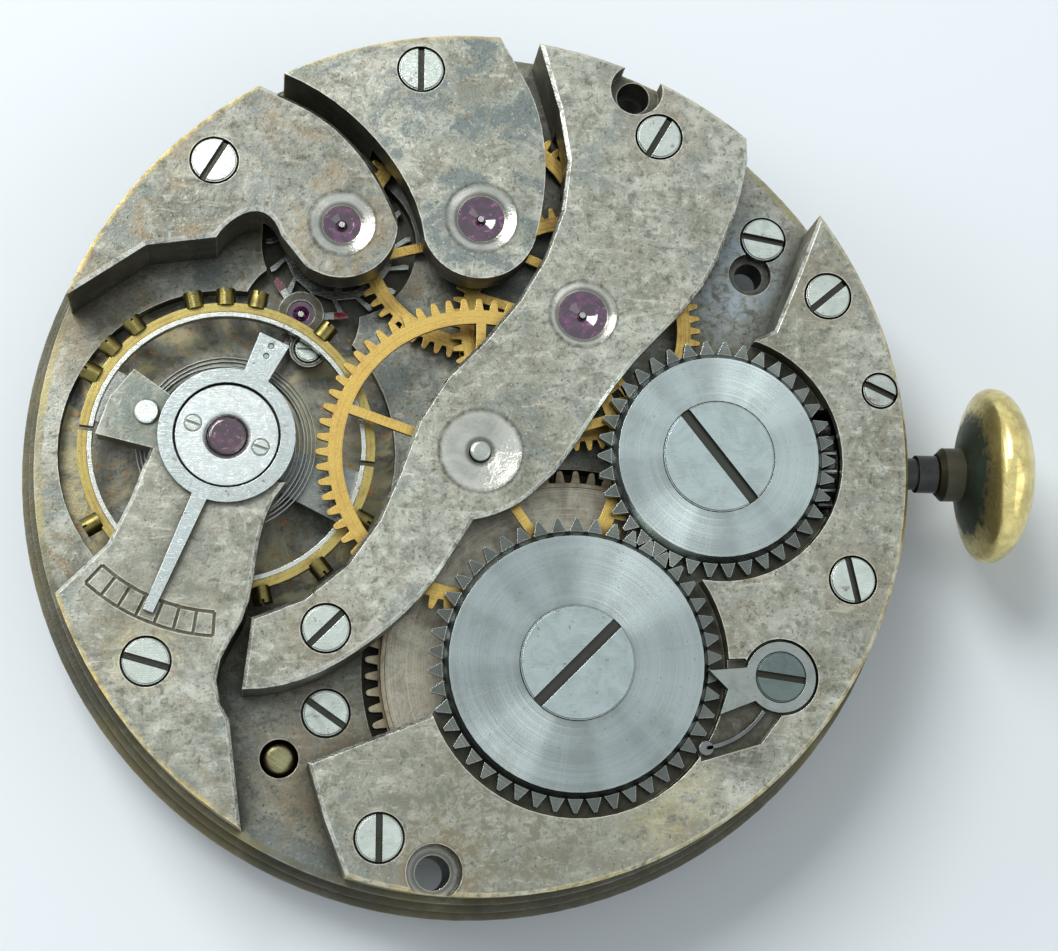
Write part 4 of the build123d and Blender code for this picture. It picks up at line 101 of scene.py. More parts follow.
def length(name, description, default):
    """A length setting in metres."""
    return bpy.props.FloatProperty(
        name=name, description=description, default=default, min=0.0, unit="LENGTH", subtype="DISTANCE",
    )


class MovementColours(bpy.types.PropertyGroup):
    """Colours of the movement's metals and stones."""
    frost: colour("Frosted nickel", "Bright frosted nickel of the bridges", (0.46, 0.465, 0.40))
    shade: colour("Dull nickel", "Duller nickel between the bright patches", (0.25, 0.255, 0.205))
    # Laid lighter than the frosted nickel on bevels, sinks and edges: a painted highlight.
    bright: colour("Polished nickel", "Bevels and sinks", (0.70, 0.70, 0.63))
    tarnish: colour("Tarnish", "Blue grey tarnish on old nickel", (0.125, 0.15, 0.145))
    stain: colour("Stain", "Brown stain on old nickel", (0.22, 0.165, 0.095))
    bare_brass: colour("Bare brass", "Brass where the nickel has worn off", (0.62, 0.47, 0.15))
    # Old oil and dust in pits, and a dark joint line round the winding wheels' screws; elsewhere laid as
    # painted shade in corners, on steep sides, in slots, in sinks and on recessed floors.
    grime_and_shade: colour("Grime", "Old oil and dust in the corners", (0.035, 0.033, 0.024))
    steel: colour("Polished steel", "Screws, plates and levers", (0.62, 0.67, 0.61))
    wide: colour("Wide screws", "Crown wheel screw and ratchet screw", (0.45, 0.52, 0.515))
    ground: colour("Ground steel", "Winding wheels", (0.38, 0.43, 0.42))
    spring: colour("Spring steel", "Wound springs and blades", (0.17, 0.18, 0.17))
    gilt: colour("Gilt wheels", "Wheels of the train", (0.62, 0.43, 0.12))
    rim: colour("Balance rim", "Outer rim of the balance", (0.42, 0.34, 0.11))
    weights: colour("Balance screws", "Screws round the balance", (0.20, 0.17, 0.055))
    ruby: colour("Ruby", "Ring jewels and cap jewels", (0.165, 0.024, 0.125))
    stone: colour("Pallet stone", "Pallet stones and impulse jewel", (0.55, 0.01, 0.03))
    crown: colour("Crown gold", "Gilt crown", (0.72, 0.60, 0.25))
    verdigris: colour("Verdigris", "Green film on the crown's inner face", (0.05, 0.085, 0.07))
    rust: colour("Rust", "Rust spots on steel and in the recess", (0.20, 0.07, 0.02))
    floor: colour("Floor", "Pale floor under the movement", (0.80, 0.86, 0.89))


class MovementSizes(bpy.types.PropertyGroup):
    """Sizes of the wound springs, the worn and highlit edges, the painted shade and the stage."""
    hairspring_in: length("Hairspring inner radius", "Centre line of the innermost turn", 0.50 * MM)
    hairspring_out: length("Hairspring outer radius", "Centre line of the outermost turn", 2.40 * MM)
    hairspring_strip: length("Hairspring strip", "Thickness of the hairspring's strip", 0.035 * MM)
    mainspring_in: length("Mainspring inner radius", "Centre line of the innermost turn", 1.07 * MM)
    mainspring_out: length("Mainspring outer radius", "Centre line of the outermost turn", 4.74 * MM)
    mainspring_strip: length("Mainspring strip", "Thickness of the mainspring's strip", 0.12 * MM)
    # Reach of the painted highlight on edges and of the bare brass where they are worn.
    wear_and_highlight: length("Edge wear", "How far wear reaches in from an edge", 0.06 * MM)
    # Reach of the painted shade in the nickel's corners.
    crevice: length("Crevice", "How far grime reaches out of a corner", 0.45 * MM)
    # Reach of the painted shade out from under the bridges.
    shelter: length("Shelter", "How far grime reaches out from under a bridge", 1.30 * MM)
    floor_gap: length("Floor gap", "Room between the movement and the floor", 0.02 * MM)
    camera_distance: length("Camera distance", "From the camera to the middle of the view", 60.0 * MM)


def colours():
    """The colours in the scene's settings."""
    return bpy.context.scene.movement_colours


def sizes():
    """The sizes in the scene's settings."""
    return bpy.context.scene.movement_sizes


def times(tone, *shares):
    """A colour with its parts multiplied."""
    shares = shares * 3 if len(shares) == 1 else shares
    return tuple(min(1.0, part * share) for part, share in zip(tone, shares))


# Node trees
class Finish:
    """A material whose nodes are added one at a time."""

    def __init__(self, name):
        self.material = bpy.data.materials.new(name)
        self.material.use_nodes = True
        self.nodes = self.material.node_tree.nodes
        self.links = self.material.node_tree.links
        self.surface = self.nodes["Principled BSDF"]
        self.place = self.nodes.new("ShaderNodeTexCoord").outputs["Object"]
        self.parts = self.add("SeparateXYZ", {"Vector": self.place}).outputs
        self.facing = self.add("NewGeometry").outputs["True Normal"]
        self.up = self.add("SeparateXYZ", {"Vector": self.facing}).outputs["Z"]
        self.body = None

    def add(self, kind, inputs=(), **settings):
        """Adds a node, sets it, and gives its inputs a link or a value each."""
        node = self.nodes.new("ShaderNode" + kind)
        for name, value in settings.items():
            setattr(node, name, value)
        for socket, value in dict(inputs).items():
            self.put(node.inputs[socket], value)
        return node

    def put(self, target, value):
        """Links or sets one input."""
        if isinstance(value, bpy.types.NodeSocket):
            self.links.new(value, target)
        else:
            target.default_value = value

    def shine(self, **values):
        """Gives the surface its colour, and other inputs by their names with underscores for spaces."""
        for name, value in {"Base_Color": self.body, **values}.items():
            self.put(self.surface.inputs[name.replace("_", " ")], value)

    def at(self, centre=CENTRE, turn=0.0, stretch=(1, 1, 1)):
        """Object coordinates measured from a centre, turned about it and stretched."""
        moved = self.add("Mapping", {"Vector": self.place, "Location": -Vector(centre)})
        return self.add("Mapping", {"Vector": moved.outputs[0], "Rotation": (0, 0, radians(turn)),
                                    "Scale": stretch}).outputs[0]

    def noise(self, size, detail=4.0, rough=0.55, where=None, bend=0.0):
        """Cloudy variation of a given size in metres."""
        node = self.add("TexNoise", {"Vector": where or self.place, "Scale": 1 / size, "Detail": detail,
                                     "Roughness": rough, "Distortion": bend})
        return node.outputs["Fac"]

    def span(self, value, low, high, to_low=0.0, to_high=1.0):
        """A value's range spread over another."""
        return self.add("MapRange", {"Value": value, "From Min": low, "From Max": high, "To Min": to_low,
                                     "To Max": to_high}).outputs[0]

    def sum(self, first, second, operation="ADD"):
        """Two values joined by arithmetic."""
        node = self.add("Math", operation=operation)
        self.put(node.inputs[0], first)
        self.put(node.inputs[1], second)
        return node.outputs[0]

    def both(self, share, *others):
        """The product of shares."""
        for other in others:
            share = self.sum(share, other, "MULTIPLY")
        return share

    def mix(self, factor, first, second):
        """Two colours mixed by a factor."""
        node = self.add("Mix", data_type="RGBA")
        self.put(node.inputs[0], factor)
        for target, value in ((node.inputs[6], first), (node.inputs[7], second)):
            self.put(target, value if isinstance(value, bpy.types.NodeSocket) else (*value, 1.0))
        return node.outputs[2]

    def lay(self, tone, *shares):
        """Lays a colour over the surface's colour so far, as strong as the product of its shares."""
        self.body = self.mix(self.both(*shares), self.body, tone)

    def edges(self, reach):
        """How near a point is to a sharp edge, from nothing to one: the mask for painted highlight on
        edges, and for worn edges.
        """
        rounded = self.add("Bevel", {"Radius": reach}, samples=4).outputs[0]
        match = self.add("VectorMath", operation="DOT_PRODUCT")
        self.put(match.inputs[0], rounded)
        self.put(match.inputs[1], self.facing)
        return self.span(match.outputs["Value"], 0.995, 0.80)

    def corners(self, reach):
        """How deep in a corner a point lies, from nothing to one, by ambient occlusion: the mask for
        painted shade in corners.
        """
        open_share = self.add("AmbientOcclusion", {"Distance": reach}, samples=6).outputs["AO"]
        return self.span(open_share, 0.92, 0.30)

    def flank(self, start=0.30):
        """One on steep sides, nothing on slopes and tops: the mask for painted shade on steep sides."""
        return self.span(self.up, start, start - 0.20)

    def relief(self, height, depth, strength=1.0):
        """Bumps on the surface, over a rounding of its edges."""
        under = self.add("Bevel", {"Radius": 0.018 * MM}, samples=4).outputs[0]
        bump = self.add("Bump", {"Height": height, "Distance": depth, "Strength": strength,
                                 "Normal": under})
        self.put(self.surface.inputs["Normal"], bump.outputs[0])

    def reach(self, centre, axis="Z"):
        """Distance from an axis through a centre."""
        flat = self.at(centre, stretch={"Z": (1, 1, 0), "X": (0, 1, 1)}[axis])
        return self.add("VectorMath", {0: flat}, operation="LENGTH").outputs["Value"]

    def within(self, centre, radius, soft=0.04 * MM):
        """One inside a radius about a centre, nothing outside."""
        return self.span(self.reach(centre), radius + soft, radius - soft)

    def rings(self, centre, size, detail=3.0, axis="Z"):
        """Fine variation that follows circles about a centre."""
        return self.add("TexNoise", {"W": self.reach(centre, axis), "Scale": 1 / size, "Detail": detail},
                        noise_dimensions="1D").outputs["Fac"]

    def sheen_rays(self, centre, count, detail=2.0):
        """Variation that follows lines out of a centre, for a painted sheen."""
        flat = self.at(centre, stretch=(1, 1, 0))
        outward = self.add("VectorMath", {0: flat}, operation="NORMALIZE").outputs[0]
        return self.noise(1 / count, detail, 0.6, outward)

    def round_grain(self, centre):
        """The direction of circles about a centre, for brushed metal."""
        turned = self.add("Mapping", {"Vector": self.at(centre), "Rotation": (0, 0, radians(90)),
                                      "Scale": (1, 1, 0)}).outputs[0]
        return self.add("VectorMath", {0: turned}, operation="NORMALIZE").outputs[0]

    def below(self, level, soft=0.02 * MM):
        """One under a level, nothing over it."""
        return self.span(self.parts["Z"], level + soft, level - soft)


def dress(finish, *nodes):
    """Gives a finish to CAD nodes."""
    for name in nodes:
        mesh = frame["nodes"][name].data
        mesh.materials.clear()
        mesh.materials.append(finish.material)


# Finishes
class OldNickel(Finish):
    """Frosted nickel over brass: mottled, tarnished, stained and pitted, with bare brass at worn edges,
    painted highlight on its bevels, sinks and edges, and painted shade on its steep sides, in its corners
    and on its lower floors.

    Sinks are (place, radius, stone's radius), and spots are (x, y, radius) in millimetres, a share
    and, if they aren't brown, a colour.
    """

    def __init__(self, name, seed, tone, tarnish, stain, brass, sinks=(), spots=(), deep=None):
        super().__init__(name)
        self.paint = colours()
        self.light, self.shade = times(self.paint.frost, tone), times(self.paint.shade, tone)
        self.where = self.at(Vector((seed * 7.3, seed * 4.1, seed * 0.9)) * MM)
        self.wide = self.noise(5.5 * MM, 3.0, 0.50, self.where)
        self.broad = self.noise(2.4 * MM, 5.0, 0.62, self.where, 1.0)
        self.cloud = self.noise(0.85 * MM, 6.0, 0.66, self.where, 0.7)
        self.mottle = self.noise(0.26 * MM, 5.0, 0.66, self.where, 0.5)
        self.pits = self.noise(0.07 * MM, 3.0, 0.62, self.where)
        self.streak = self.noise(0.42 * MM, 4.0, 0.60, self.at(CENTRE, 68, (0.40, 1.7, 1.0)), 0.6)
        self.smooth = 0.0
        self.frosting()
        self.tarnishing(seed, tarnish, stain)
        for x, y, radius, share, *hue in spots:
            self.spot(Vector((x, y, 0)) * MM, radius * MM, share, *hue)
        if not deep:
            self.hollow_shade()
        for place, radius, stone in sinks:
            self.sink(place, radius, stone)
        self.wear_and_highlight(brass)
        if deep:
            self.flange()
        else:
            self.rim(brass)
        # Painted shade in corners, from ambient occlusion.
        self.lay(self.paint.grime_and_shade, self.corners(sizes().crevice),
                 self.span(self.cloud, 0.30, 0.62, 1.0, 0.72))
        if deep:
            self.recesses(deep)
        self.surfacing()

    def frosting(self):
        """The frosted ground: patches of several sizes, and faint streaks."""
        light, shade = self.light, self.shade
        self.body = self.mix(self.span(self.cloud, 0.37, 0.60), shade, light)
        self.lay(times(shade, 0.80, 0.78, 0.72), self.span(self.wide, 0.60, 0.40, 0.0, 0.50))
        self.lay(times(shade, 0.62), self.span(self.broad, 0.48, 0.34, 0.0, 0.55))
        self.lay(times(shade, 0.45), self.span(self.mottle, 0.47, 0.34, 0.0, 0.75))
        self.lay(times(light, 1.38), self.span(self.mottle, 0.55, 0.70, 0.0, 0.60))
        self.lay(times(light, 1.45, 1.42, 1.38), self.span(self.streak, 0.56, 0.70, 0.0, 0.40))
        self.lay(times(shade, 0.5), self.span(self.streak, 0.42, 0.30, 0.0, 0.40))

    def tarnishing(self, seed, tarnish, stain):
        """Blue grey tarnish, brown stain, dark pits and bright grains."""
        patches = self.sum(self.broad, self.both(self.mottle, 0.5))
        cold = self.span(patches, 0.87 - 0.16 * tarnish, 0.93 - 0.12 * tarnish)
        self.lay(self.paint.tarnish, cold, 0.40 + 0.50 * tarnish)
        warm = self.noise(1.5 * MM, 6.0, 0.70, self.at(Vector((0, 9, seed)) * MM), 0.9)
        self.lay(self.paint.stain, self.span(warm, 0.57 - 0.07 * stain, 0.69, 0.0, 0.90 * stain))
        self.lay(self.paint.grime_and_shade, self.span(self.pits, 0.60, 0.68, 0.0, 0.70))
        self.lay(times(self.light, 1.55), self.span(self.pits, 0.38, 0.28, 0.0, 0.50))

    def spot(self, place, radius, share, hue=None):
        """A broken-up patch about a place, in the stain's colour or a given one."""
        inside = self.span(self.reach(place), radius * 1.5, radius * 0.6)
        self.lay(hue or self.paint.stain, inside, self.span(self.mottle, 0.40, 0.58, 0.10, 1.0), share)

    def hollow_shade(self):
        """Painted shade on level floors lower than a bridge's upper face: grooves and screw sinks."""
        self.lay(times(self.paint.grime_and_shade, 1.5), self.below(BRIDGE_TOP - 0.035 * MM, 0.012 * MM),
                 self.span(self.up, 0.85, 0.95), self.span(self.cloud, 0.35, 0.60, 0.90, 0.68))

    def sink(self, place, radius, stone):
        """A polished sink, painted lighter as a highlight, with lines of painted shade at its own radius
        and at its stone's.
        """
        grime_and_shade = times(self.paint.grime_and_shade, 1.8)
        inside = self.both(self.within(place, radius, 0.02 * MM), self.span(self.up, 0.5, 0.6))
        # Painted highlight: the polished sink is laid lighter.
        self.lay(self.paint.bright, inside, self.span(self.cloud, 0.30, 0.60, 0.80, 0.45))
        reach = self.reach(place)
        # Painted shade: dark lines at the sink's edge and round its stone.
        self.lay(grime_and_shade, self.span(reach, radius - 0.10 * MM, radius),
                 self.within(place, radius + 0.06 * MM), self.span(self.mottle, 0.34, 0.55, 0.95, 0.5))
        self.lay(grime_and_shade, self.within(place, stone + 0.12 * MM),
                 self.span(reach, stone - 0.05 * MM, stone), 0.70)
        self.smooth = self.sum(self.smooth, inside, "MAXIMUM")

    def wear_and_highlight(self, brass):
        """Painted highlight on the bevels and edges, painted shade on the steep sides, and edges worn down
        to the brass in places.
        """
        slope = self.both(self.span(self.up, 0.55, 0.65), self.span(self.up, 0.86, 0.78))
        # Painted highlight on the bevels.
        self.lay(self.paint.bright, slope, self.span(self.mottle, 0.38, 0.56, 0.15, 0.80))
        self.smooth = self.sum(self.smooth, slope, "MAXIMUM")
        # Painted shade on the steep sides.
        self.lay(times(self.paint.grime_and_shade, 1.9, 1.9, 1.6), self.flank(0.45),
                 self.span(self.cloud, 0.35, 0.62, 0.94, 0.62))
        worn_and_highlit_edge = self.edges(sizes().wear_and_highlight)
        bare = self.span(self.noise(0.55 * MM, 5.0, 0.7, self.where), 0.66 - 0.32 * brass, 0.72)
        # Painted highlight on the edges; the bare brass laid next is where they are worn.
        self.lay(times(self.paint.bright, 1.15), worn_and_highlit_edge, self.span(self.mottle, 0.36, 0.55, 0.20, 0.85))
        self.lay(times(self.paint.bare_brass, 0.85), worn_and_highlit_edge, bare, 0.60)

    def flange(self):
        """The plate's flange, olive with old oil and golden in places."""
        outside = self.span(self.reach(CENTRE), FLANGE_IN, FLANGE_IN + 0.08 * MM)
        olive = self.mix(self.span(self.wide, 0.48, 0.60), (0.125, 0.12, 0.08), (0.34, 0.29, 0.12))
        self.lay(olive, outside, self.span(self.cloud, 0.36, 0.60, 0.85, 0.45))

    def rim(self, brass):
        """A bridge's round edge, worn to the brass at its top."""
        around = self.span(self.reach(CENTRE), BRIDGE_RIM, BRIDGE_RIM + 0.10 * MM)
        upper = self.span(self.parts["Z"], BRIDGE_TOP - 0.40 * MM, BRIDGE_TOP - 0.08 * MM, 0.30, 1.0)
        bare = self.paint.bare_brass
        uneven = self.mix(self.span(self.mottle, 0.35, 0.60), times(bare, 0.5), bare)
        self.lay(uneven, around, upper, self.span(self.cloud, 0.36, 0.56, 0.15, 1.0), 0.35 + 0.50 * brass)

    def recesses(self, level):
        """Painted shade under the bridges and on the plate's low floors, and gold, rust and blue flecks
        under the balance.
        """
        low = self.both(self.below(level), self.span(self.up, -0.5, -0.1))
        # Painted shade under the bridges, from ambient occlusion, and on the plate's low floors.
        self.lay(self.paint.grime_and_shade, self.corners(sizes().shelter), 0.75)
        recess = self.both(low, self.within(BALANCE, RECESS_R))
        self.lay(times(self.paint.grime_and_shade, 1.6), low, 0.46)
        self.lay((0.38, 0.34, 0.19), recess, self.span(self.broad, 0.49, 0.58, 0.0, 0.70))
        fleck = self.noise(0.20 * MM, 4.0, 0.7, self.where)
        self.lay(self.paint.rust, recess, self.span(fleck, 0.59, 0.65, 0.0, 0.65))
        self.lay((0.55, 0.22, 0.05), recess, self.span(fleck, 0.65, 0.68, 0.0, 0.7))
        self.lay((0.20, 0.26, 0.28), recess, self.span(fleck, 0.42, 0.34, 0.0, 0.55))

    def surfacing(self):
        """Smooth sinks and bevels, rough frosting."""
        rough = self.span(self.sum(self.smooth, self.both(self.mottle, 0.4)), 0.12, 1.10, 0.46, 0.18)
        self.shine(Metallic=0.90, Roughness=rough)
        grain = self.sum(self.both(self.pits, 0.6), self.mottle)
        self.relief(self.sum(grain, self.both(self.streak, 0.3)), 0.012 * MM, 0.70)


def polished_steel(name, tone=None, rough=0.20, corner_shade=1.0, rust=0.0, turn=30.0, slot=None, dull=None):
    """Polished steel with fine scratches and rust spots, painted highlight on its edges, painted shade in
    its corners, on its steep sides and in its slot, and tarnish inside a dull ring.
    """
    paint = colours()
    tone = tone or paint.steel
    coat = Finish(name)
    scratch = coat.noise(0.05 * MM, 4.0, 0.7, coat.at(CENTRE, turn, (0.10, 4.0, 1.0)))
    cross = coat.noise(0.07 * MM, 3.0, 0.7, coat.at(CENTRE, turn + 70, (0.12, 4.0, 1.0)))
    cloud = coat.noise(0.55 * MM, 5.0, 0.68, None, 0.6)
    coat.body = coat.mix(coat.span(cloud, 0.42, 0.62, 0.0, 0.55), tone, times(tone, 0.52, 0.54, 0.50))
    coat.lay(times(tone, 0.45, 0.46, 0.43), coat.span(scratch, 0.58, 0.68, 0.0, 0.60))
    coat.lay(times(tone, 1.35), coat.span(cross, 0.62, 0.70, 0.0, 0.50))
    if rust:
        coat.lay(times(paint.rust, 0.75),
                 coat.span(coat.noise(0.30 * MM, 6.0, 0.74), 0.64 - 0.12 * rust, 0.72))
    # Painted highlight on the edges.
    coat.lay(times(tone, 1.4), coat.edges(0.03 * MM), 0.55)
    # Painted shade in corners and on the steep sides.
    coat.lay(paint.grime_and_shade, coat.corners(0.18 * MM), corner_shade)
    coat.lay(times(paint.grime_and_shade, 2.0), coat.flank(), 0.6)
    # Painted shade in the slot and below its floor.
    if slot:
        coat.lay(paint.grime_and_shade, coat.below(slot, 0.012 * MM), 0.93)
    if dull:
        coat.lay((0.10, 0.115, 0.11), coat.within(*dull), coat.span(cloud, 0.35, 0.60, 0.90, 0.60))
    uneven = coat.span(coat.sum(scratch, cloud), 0.8, 1.3, rough - 0.06, rough + 0.16)
    coat.shine(Metallic=0.95, Roughness=uneven)
    coat.relief(coat.sum(scratch, cross), 0.003 * MM, 0.7)
    return coat


def ground_wheel(name, node, centre, disc_share, hub, tone):
    """A steel winding wheel, ground in circles, with a painted sheen in broad sectors and fine radial
    streaks, dark teeth with painted highlight on their edges, painted shade on its steep sides and in its
    corners, and a dark line round its screw.
    """
    paint = colours()
    coat = Finish(name)
    low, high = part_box(node)
    disc = (high.x - low.x) / 2 * disc_share
    ground = times(paint.ground, tone)
    rings = coat.rings(centre, 0.05 * MM, 4.0)
    broad_rings = coat.rings(centre, 0.45 * MM, 3.0)
    sheen_rays = coat.sheen_rays(centre, 1.3, 2.0)
    fine_sheen_rays = coat.sheen_rays(centre, 26.0, 3.0)
    cloud = coat.noise(1.3 * MM, 6.0, 0.72, coat.at(centre))
    speck = coat.noise(0.10 * MM, 3.0, 0.6)
    # Painted sheen: broad sectors lighter and darker round the centre.
    coat.body = coat.mix(coat.span(sheen_rays, 0.40, 0.60), times(ground, 0.72), times(ground, 1.12))
    coat.lay(times(ground, 0.72), coat.span(rings, 0.40, 0.62, 0.0, 0.26))
    coat.lay(times(ground, 1.25), coat.span(broad_rings, 0.42, 0.60, 0.0, 0.30))
    # Painted sheen in fine radial streaks.
    coat.lay(times(ground, 1.35), coat.span(fine_sheen_rays, 0.56, 0.70, 0.0, 0.22))
    coat.lay(times(ground, 0.62, 0.60, 0.56), coat.span(cloud, 0.52, 0.68, 0.0, 0.45))
    coat.lay((0.10, 0.085, 0.06), coat.span(speck, 0.64, 0.72, 0.0, 0.55))
    reach = coat.reach(centre)
    teeth = coat.span(reach, disc + 0.02 * MM, disc + 0.08 * MM)
    coat.lay((0.10, 0.105, 0.09), teeth, coat.span(cloud, 0.35, 0.60, 0.72, 0.92))
    # Painted highlight on the teeth's edges.
    coat.lay(times(ground, 1.75), teeth, coat.edges(0.035 * MM), 0.8)
    coat.lay(times(paint.grime_and_shade, 1.5), coat.span(reach, hub + 0.07 * MM, hub + 0.03 * MM), 0.8)
    # Painted shade on the steep sides and in corners.
    coat.lay(times(paint.grime_and_shade, 2.6), coat.flank(), 0.45)
    coat.lay(times(paint.grime_and_shade, 1.4), coat.corners(0.30 * MM), 0.8)
    coat.shine(Metallic=0.96, Roughness=coat.span(rings, 0.3, 0.7, 0.22, 0.32),
                 Anisotropic=0.85, Tangent=coat.round_grain(centre))
    coat.relief(coat.sum(rings, coat.rings(centre, 0.014 * MM, 2.0)), 0.0025 * MM, 0.4)
    return coat


def gilt_wheel(name, centre, tone=None, dull=0.3, rough=0.30):
    """A gilt brass wheel, grained in circles, with tarnish, painted highlight on its edges, and painted
    shade on its steep sides and in its corners between its teeth.
    """
    tone = tone or colours().gilt
    coat = Finish(name)
    rings = coat.rings(centre, 0.06 * MM, 4.0)
    cloud = coat.noise(0.6 * MM, 6.0, 0.70, coat.at(centre), 0.6)
    grain = coat.noise(0.05 * MM, 3.0, 0.6)
    shade = times(tone, 0.42, 0.34, 0.40)
    coat.body = coat.mix(coat.span(cloud, 0.38, 0.60, 0.35 + dull, 0.0), tone, shade)
    coat.lay(times(tone, 1.35), coat.span(rings, 0.42, 0.62, 0.0, 0.30))
    coat.lay(times(tone, 0.35, 0.30, 0.35), coat.span(grain, 0.56, 0.68, 0.0, 0.55))
    # Painted highlight on the edges, painted shade on the steep sides and in corners.
    coat.lay(times(tone, 1.45, 1.5, 1.8), coat.edges(0.03 * MM), 0.55)
    coat.lay(times(tone, 0.20, 0.17, 0.2), coat.flank(), 0.70)
    coat.lay((0.06, 0.042, 0.018), coat.corners(0.30 * MM))
    uneven = coat.span(cloud, 0.35, 0.65, rough + 0.08, rough - 0.06)
    coat.shine(Metallic=0.95, Roughness=uneven)
    coat.relief(coat.sum(rings, grain), 0.003 * MM, 0.6)
    return coat


def spring_steel(name, centre, top=2.6):
    """Tempered steel strip, drawn along its length, its upper edge painted lighter by a share over one as a
    painted highlight, and darker by a share under one as painted shade.
    """
    tone = colours().spring
    coat = Finish(name)
    drawn = coat.noise(0.04 * MM, 3.0, 0.6, coat.at(centre, 0.0, (1, 1, 6)))
    cloud = coat.noise(0.9 * MM, 4.0, 0.6, coat.at(centre))
    coat.body = coat.mix(coat.span(cloud, 0.38, 0.62), times(tone, 0.6), times(tone, 1.5))
    coat.lay(times(tone, 0.4), coat.span(drawn, 0.58, 0.72, 0.0, 0.5))
    # Upper edge lighter or darker by a share: painted highlight over one, painted shade under one.
    coat.lay(times(tone, top), coat.span(coat.up, 0.6, 0.9, 0.0, 0.6))
    uneven = coat.span(cloud, 0.3, 0.7, 0.20, 0.32)
    coat.shine(Metallic=0.95, Roughness=uneven)
    coat.relief(drawn, 0.001 * MM, 0.5)
    return coat


def ruby_stone(name, tone=None, depth=0.35):
    """Polished synthetic ruby: random dark and pink patches and dark facets, painted in for the shade where
    it is thick and the light that comes through it, with painted glints and painted highlight on its edges.
    """
    tone = tone or colours().ruby
    coat = Finish(name)
    cloud = coat.noise(0.20 * MM, 4.0, 0.6)
    facets = coat.add("TexVoronoi", {"Vector": coat.place, "Scale": 1 / (0.24 * MM)}).outputs["Distance"]
    coat.body = coat.mix(coat.span(cloud, 0.40, 0.60), times(tone, 0.28), times(tone, 1.05))
    # Dark facets and patches painted in for the shade inside the stone.
    coat.lay(times(tone, 0.18), coat.span(facets, 0.20, 0.65, 0.0, 0.75))
    # Painted glints and painted highlight on the edges.
    glint = coat.span(coat.noise(0.13 * MM, 2.0, 0.5), 0.60, 0.68)
    coat.lay(times(tone, 2.6, 5.0, 2.6), glint, 0.7)
    coat.lay(times(tone, 2.4, 3.5, 2.2), coat.edges(0.05 * MM), 0.6)
    coat.shine(Roughness=0.06, IOR=1.76, Transmission_Weight=depth,
                 Coat_Weight=0.6, Coat_Roughness=0.03)
    coat.relief(coat.noise(0.30 * MM, 1.0, 0.4), 0.012 * MM, 0.5)
    return coat


def gilt_crown(name):
    """A gilt crown, polished outside, under a dark green film on the face towards the movement."""
    paint = colours()
    gold, green = paint.crown, paint.verdigris
    coat = Finish(name)
    around = coat.rings(STEM, 0.10 * MM, 3.0, "X")
    cloud = coat.noise(0.7 * MM, 6.0, 0.70, coat.at(STEM), 0.7)
    patchy = coat.noise(0.25 * MM, 4.0, 0.65, coat.at(STEM, 0, (2.2, 1, 1)), 0.4)
    scratch = coat.noise(0.06 * MM, 3.0, 0.6, coat.at(STEM, 0, (3.0, 0.4, 0.4)))
    coat.body = coat.mix(coat.span(cloud, 0.38, 0.62), times(gold, 0.72, 0.70, 0.66), times(gold, 1.2))
    coat.lay(times(gold, 0.55), coat.span(around, 0.40, 0.60, 0.15, 0.0))
    coat.lay(times(gold, 0.40, 0.34, 0.30), coat.span(patchy, 0.58, 0.72, 0.0, 0.45))
    coat.lay(times(gold, 1.5, 1.5, 2.0), coat.span(scratch, 0.60, 0.72, 0.0, 0.45))
    ragged = coat.sum(coat.parts["X"], coat.both(coat.sum(patchy, -0.5), 0.35 * MM))
    film = coat.span(ragged, CROWN_FILM_X + 0.12 * MM, CROWN_FILM_X)
    dark = coat.mix(coat.span(cloud, 0.40, 0.60), green, times(green, 1.1, 0.75, 0.7))
    dark = coat.mix(coat.span(patchy, 0.60, 0.68, 0.0, 0.8), dark, (0.03, 0.16, 0.07))
    neck = coat.both(coat.span(coat.reach(STEM, "X"), 0.95 * MM, 0.70 * MM),
                       coat.span(coat.parts["X"], 13.9 * MM, 13.6 * MM))
    dark = coat.mix(neck, dark, (0.034, 0.031, 0.024))
    coat.lay(dark, film, 0.96)
    uneven = coat.sum(coat.span(cloud, 0.35, 0.65, 0.30, 0.18), coat.both(film, 0.22))
    coat.shine(Metallic=0.90, Roughness=uneven)
    coat.relief(coat.sum(cloud, coat.both(patchy, 0.5)), 0.010 * MM, 0.6)
    return coat


def grey_metal(name, tone, rough):
    """Dull steel on parts that are mostly hidden."""
    coat = Finish(name)
    cloud = coat.noise(0.8 * MM, 5.0, 0.6)
    grain = coat.noise(0.05 * MM, 3.0, 0.6)
    coat.body = coat.mix(coat.span(cloud, 0.35, 0.70), tone, times(tone, 0.6))
    coat.lay(times(tone, 0.4), coat.span(grain, 0.58, 0.70, 0.0, 0.5))
    # Painted shade in corners, from ambient occlusion.
    coat.lay(colours().grime_and_shade, coat.corners(0.25 * MM))
    uneven = coat.span(cloud, 0.35, 0.65, rough, rough - 0.12)
    coat.shine(Metallic=0.9, Roughness=uneven)
    coat.relief(grain, 0.002 * MM, 0.6)
    return coat


# Modelling
def select(main, *others):
    """Selects pieces only, with the main one active."""
    bpy.ops.object.select_all(action="DESELECT")
    for piece in (*others, main):
        piece.select_set(True)
    bpy.context.view_layer.objects.active = main


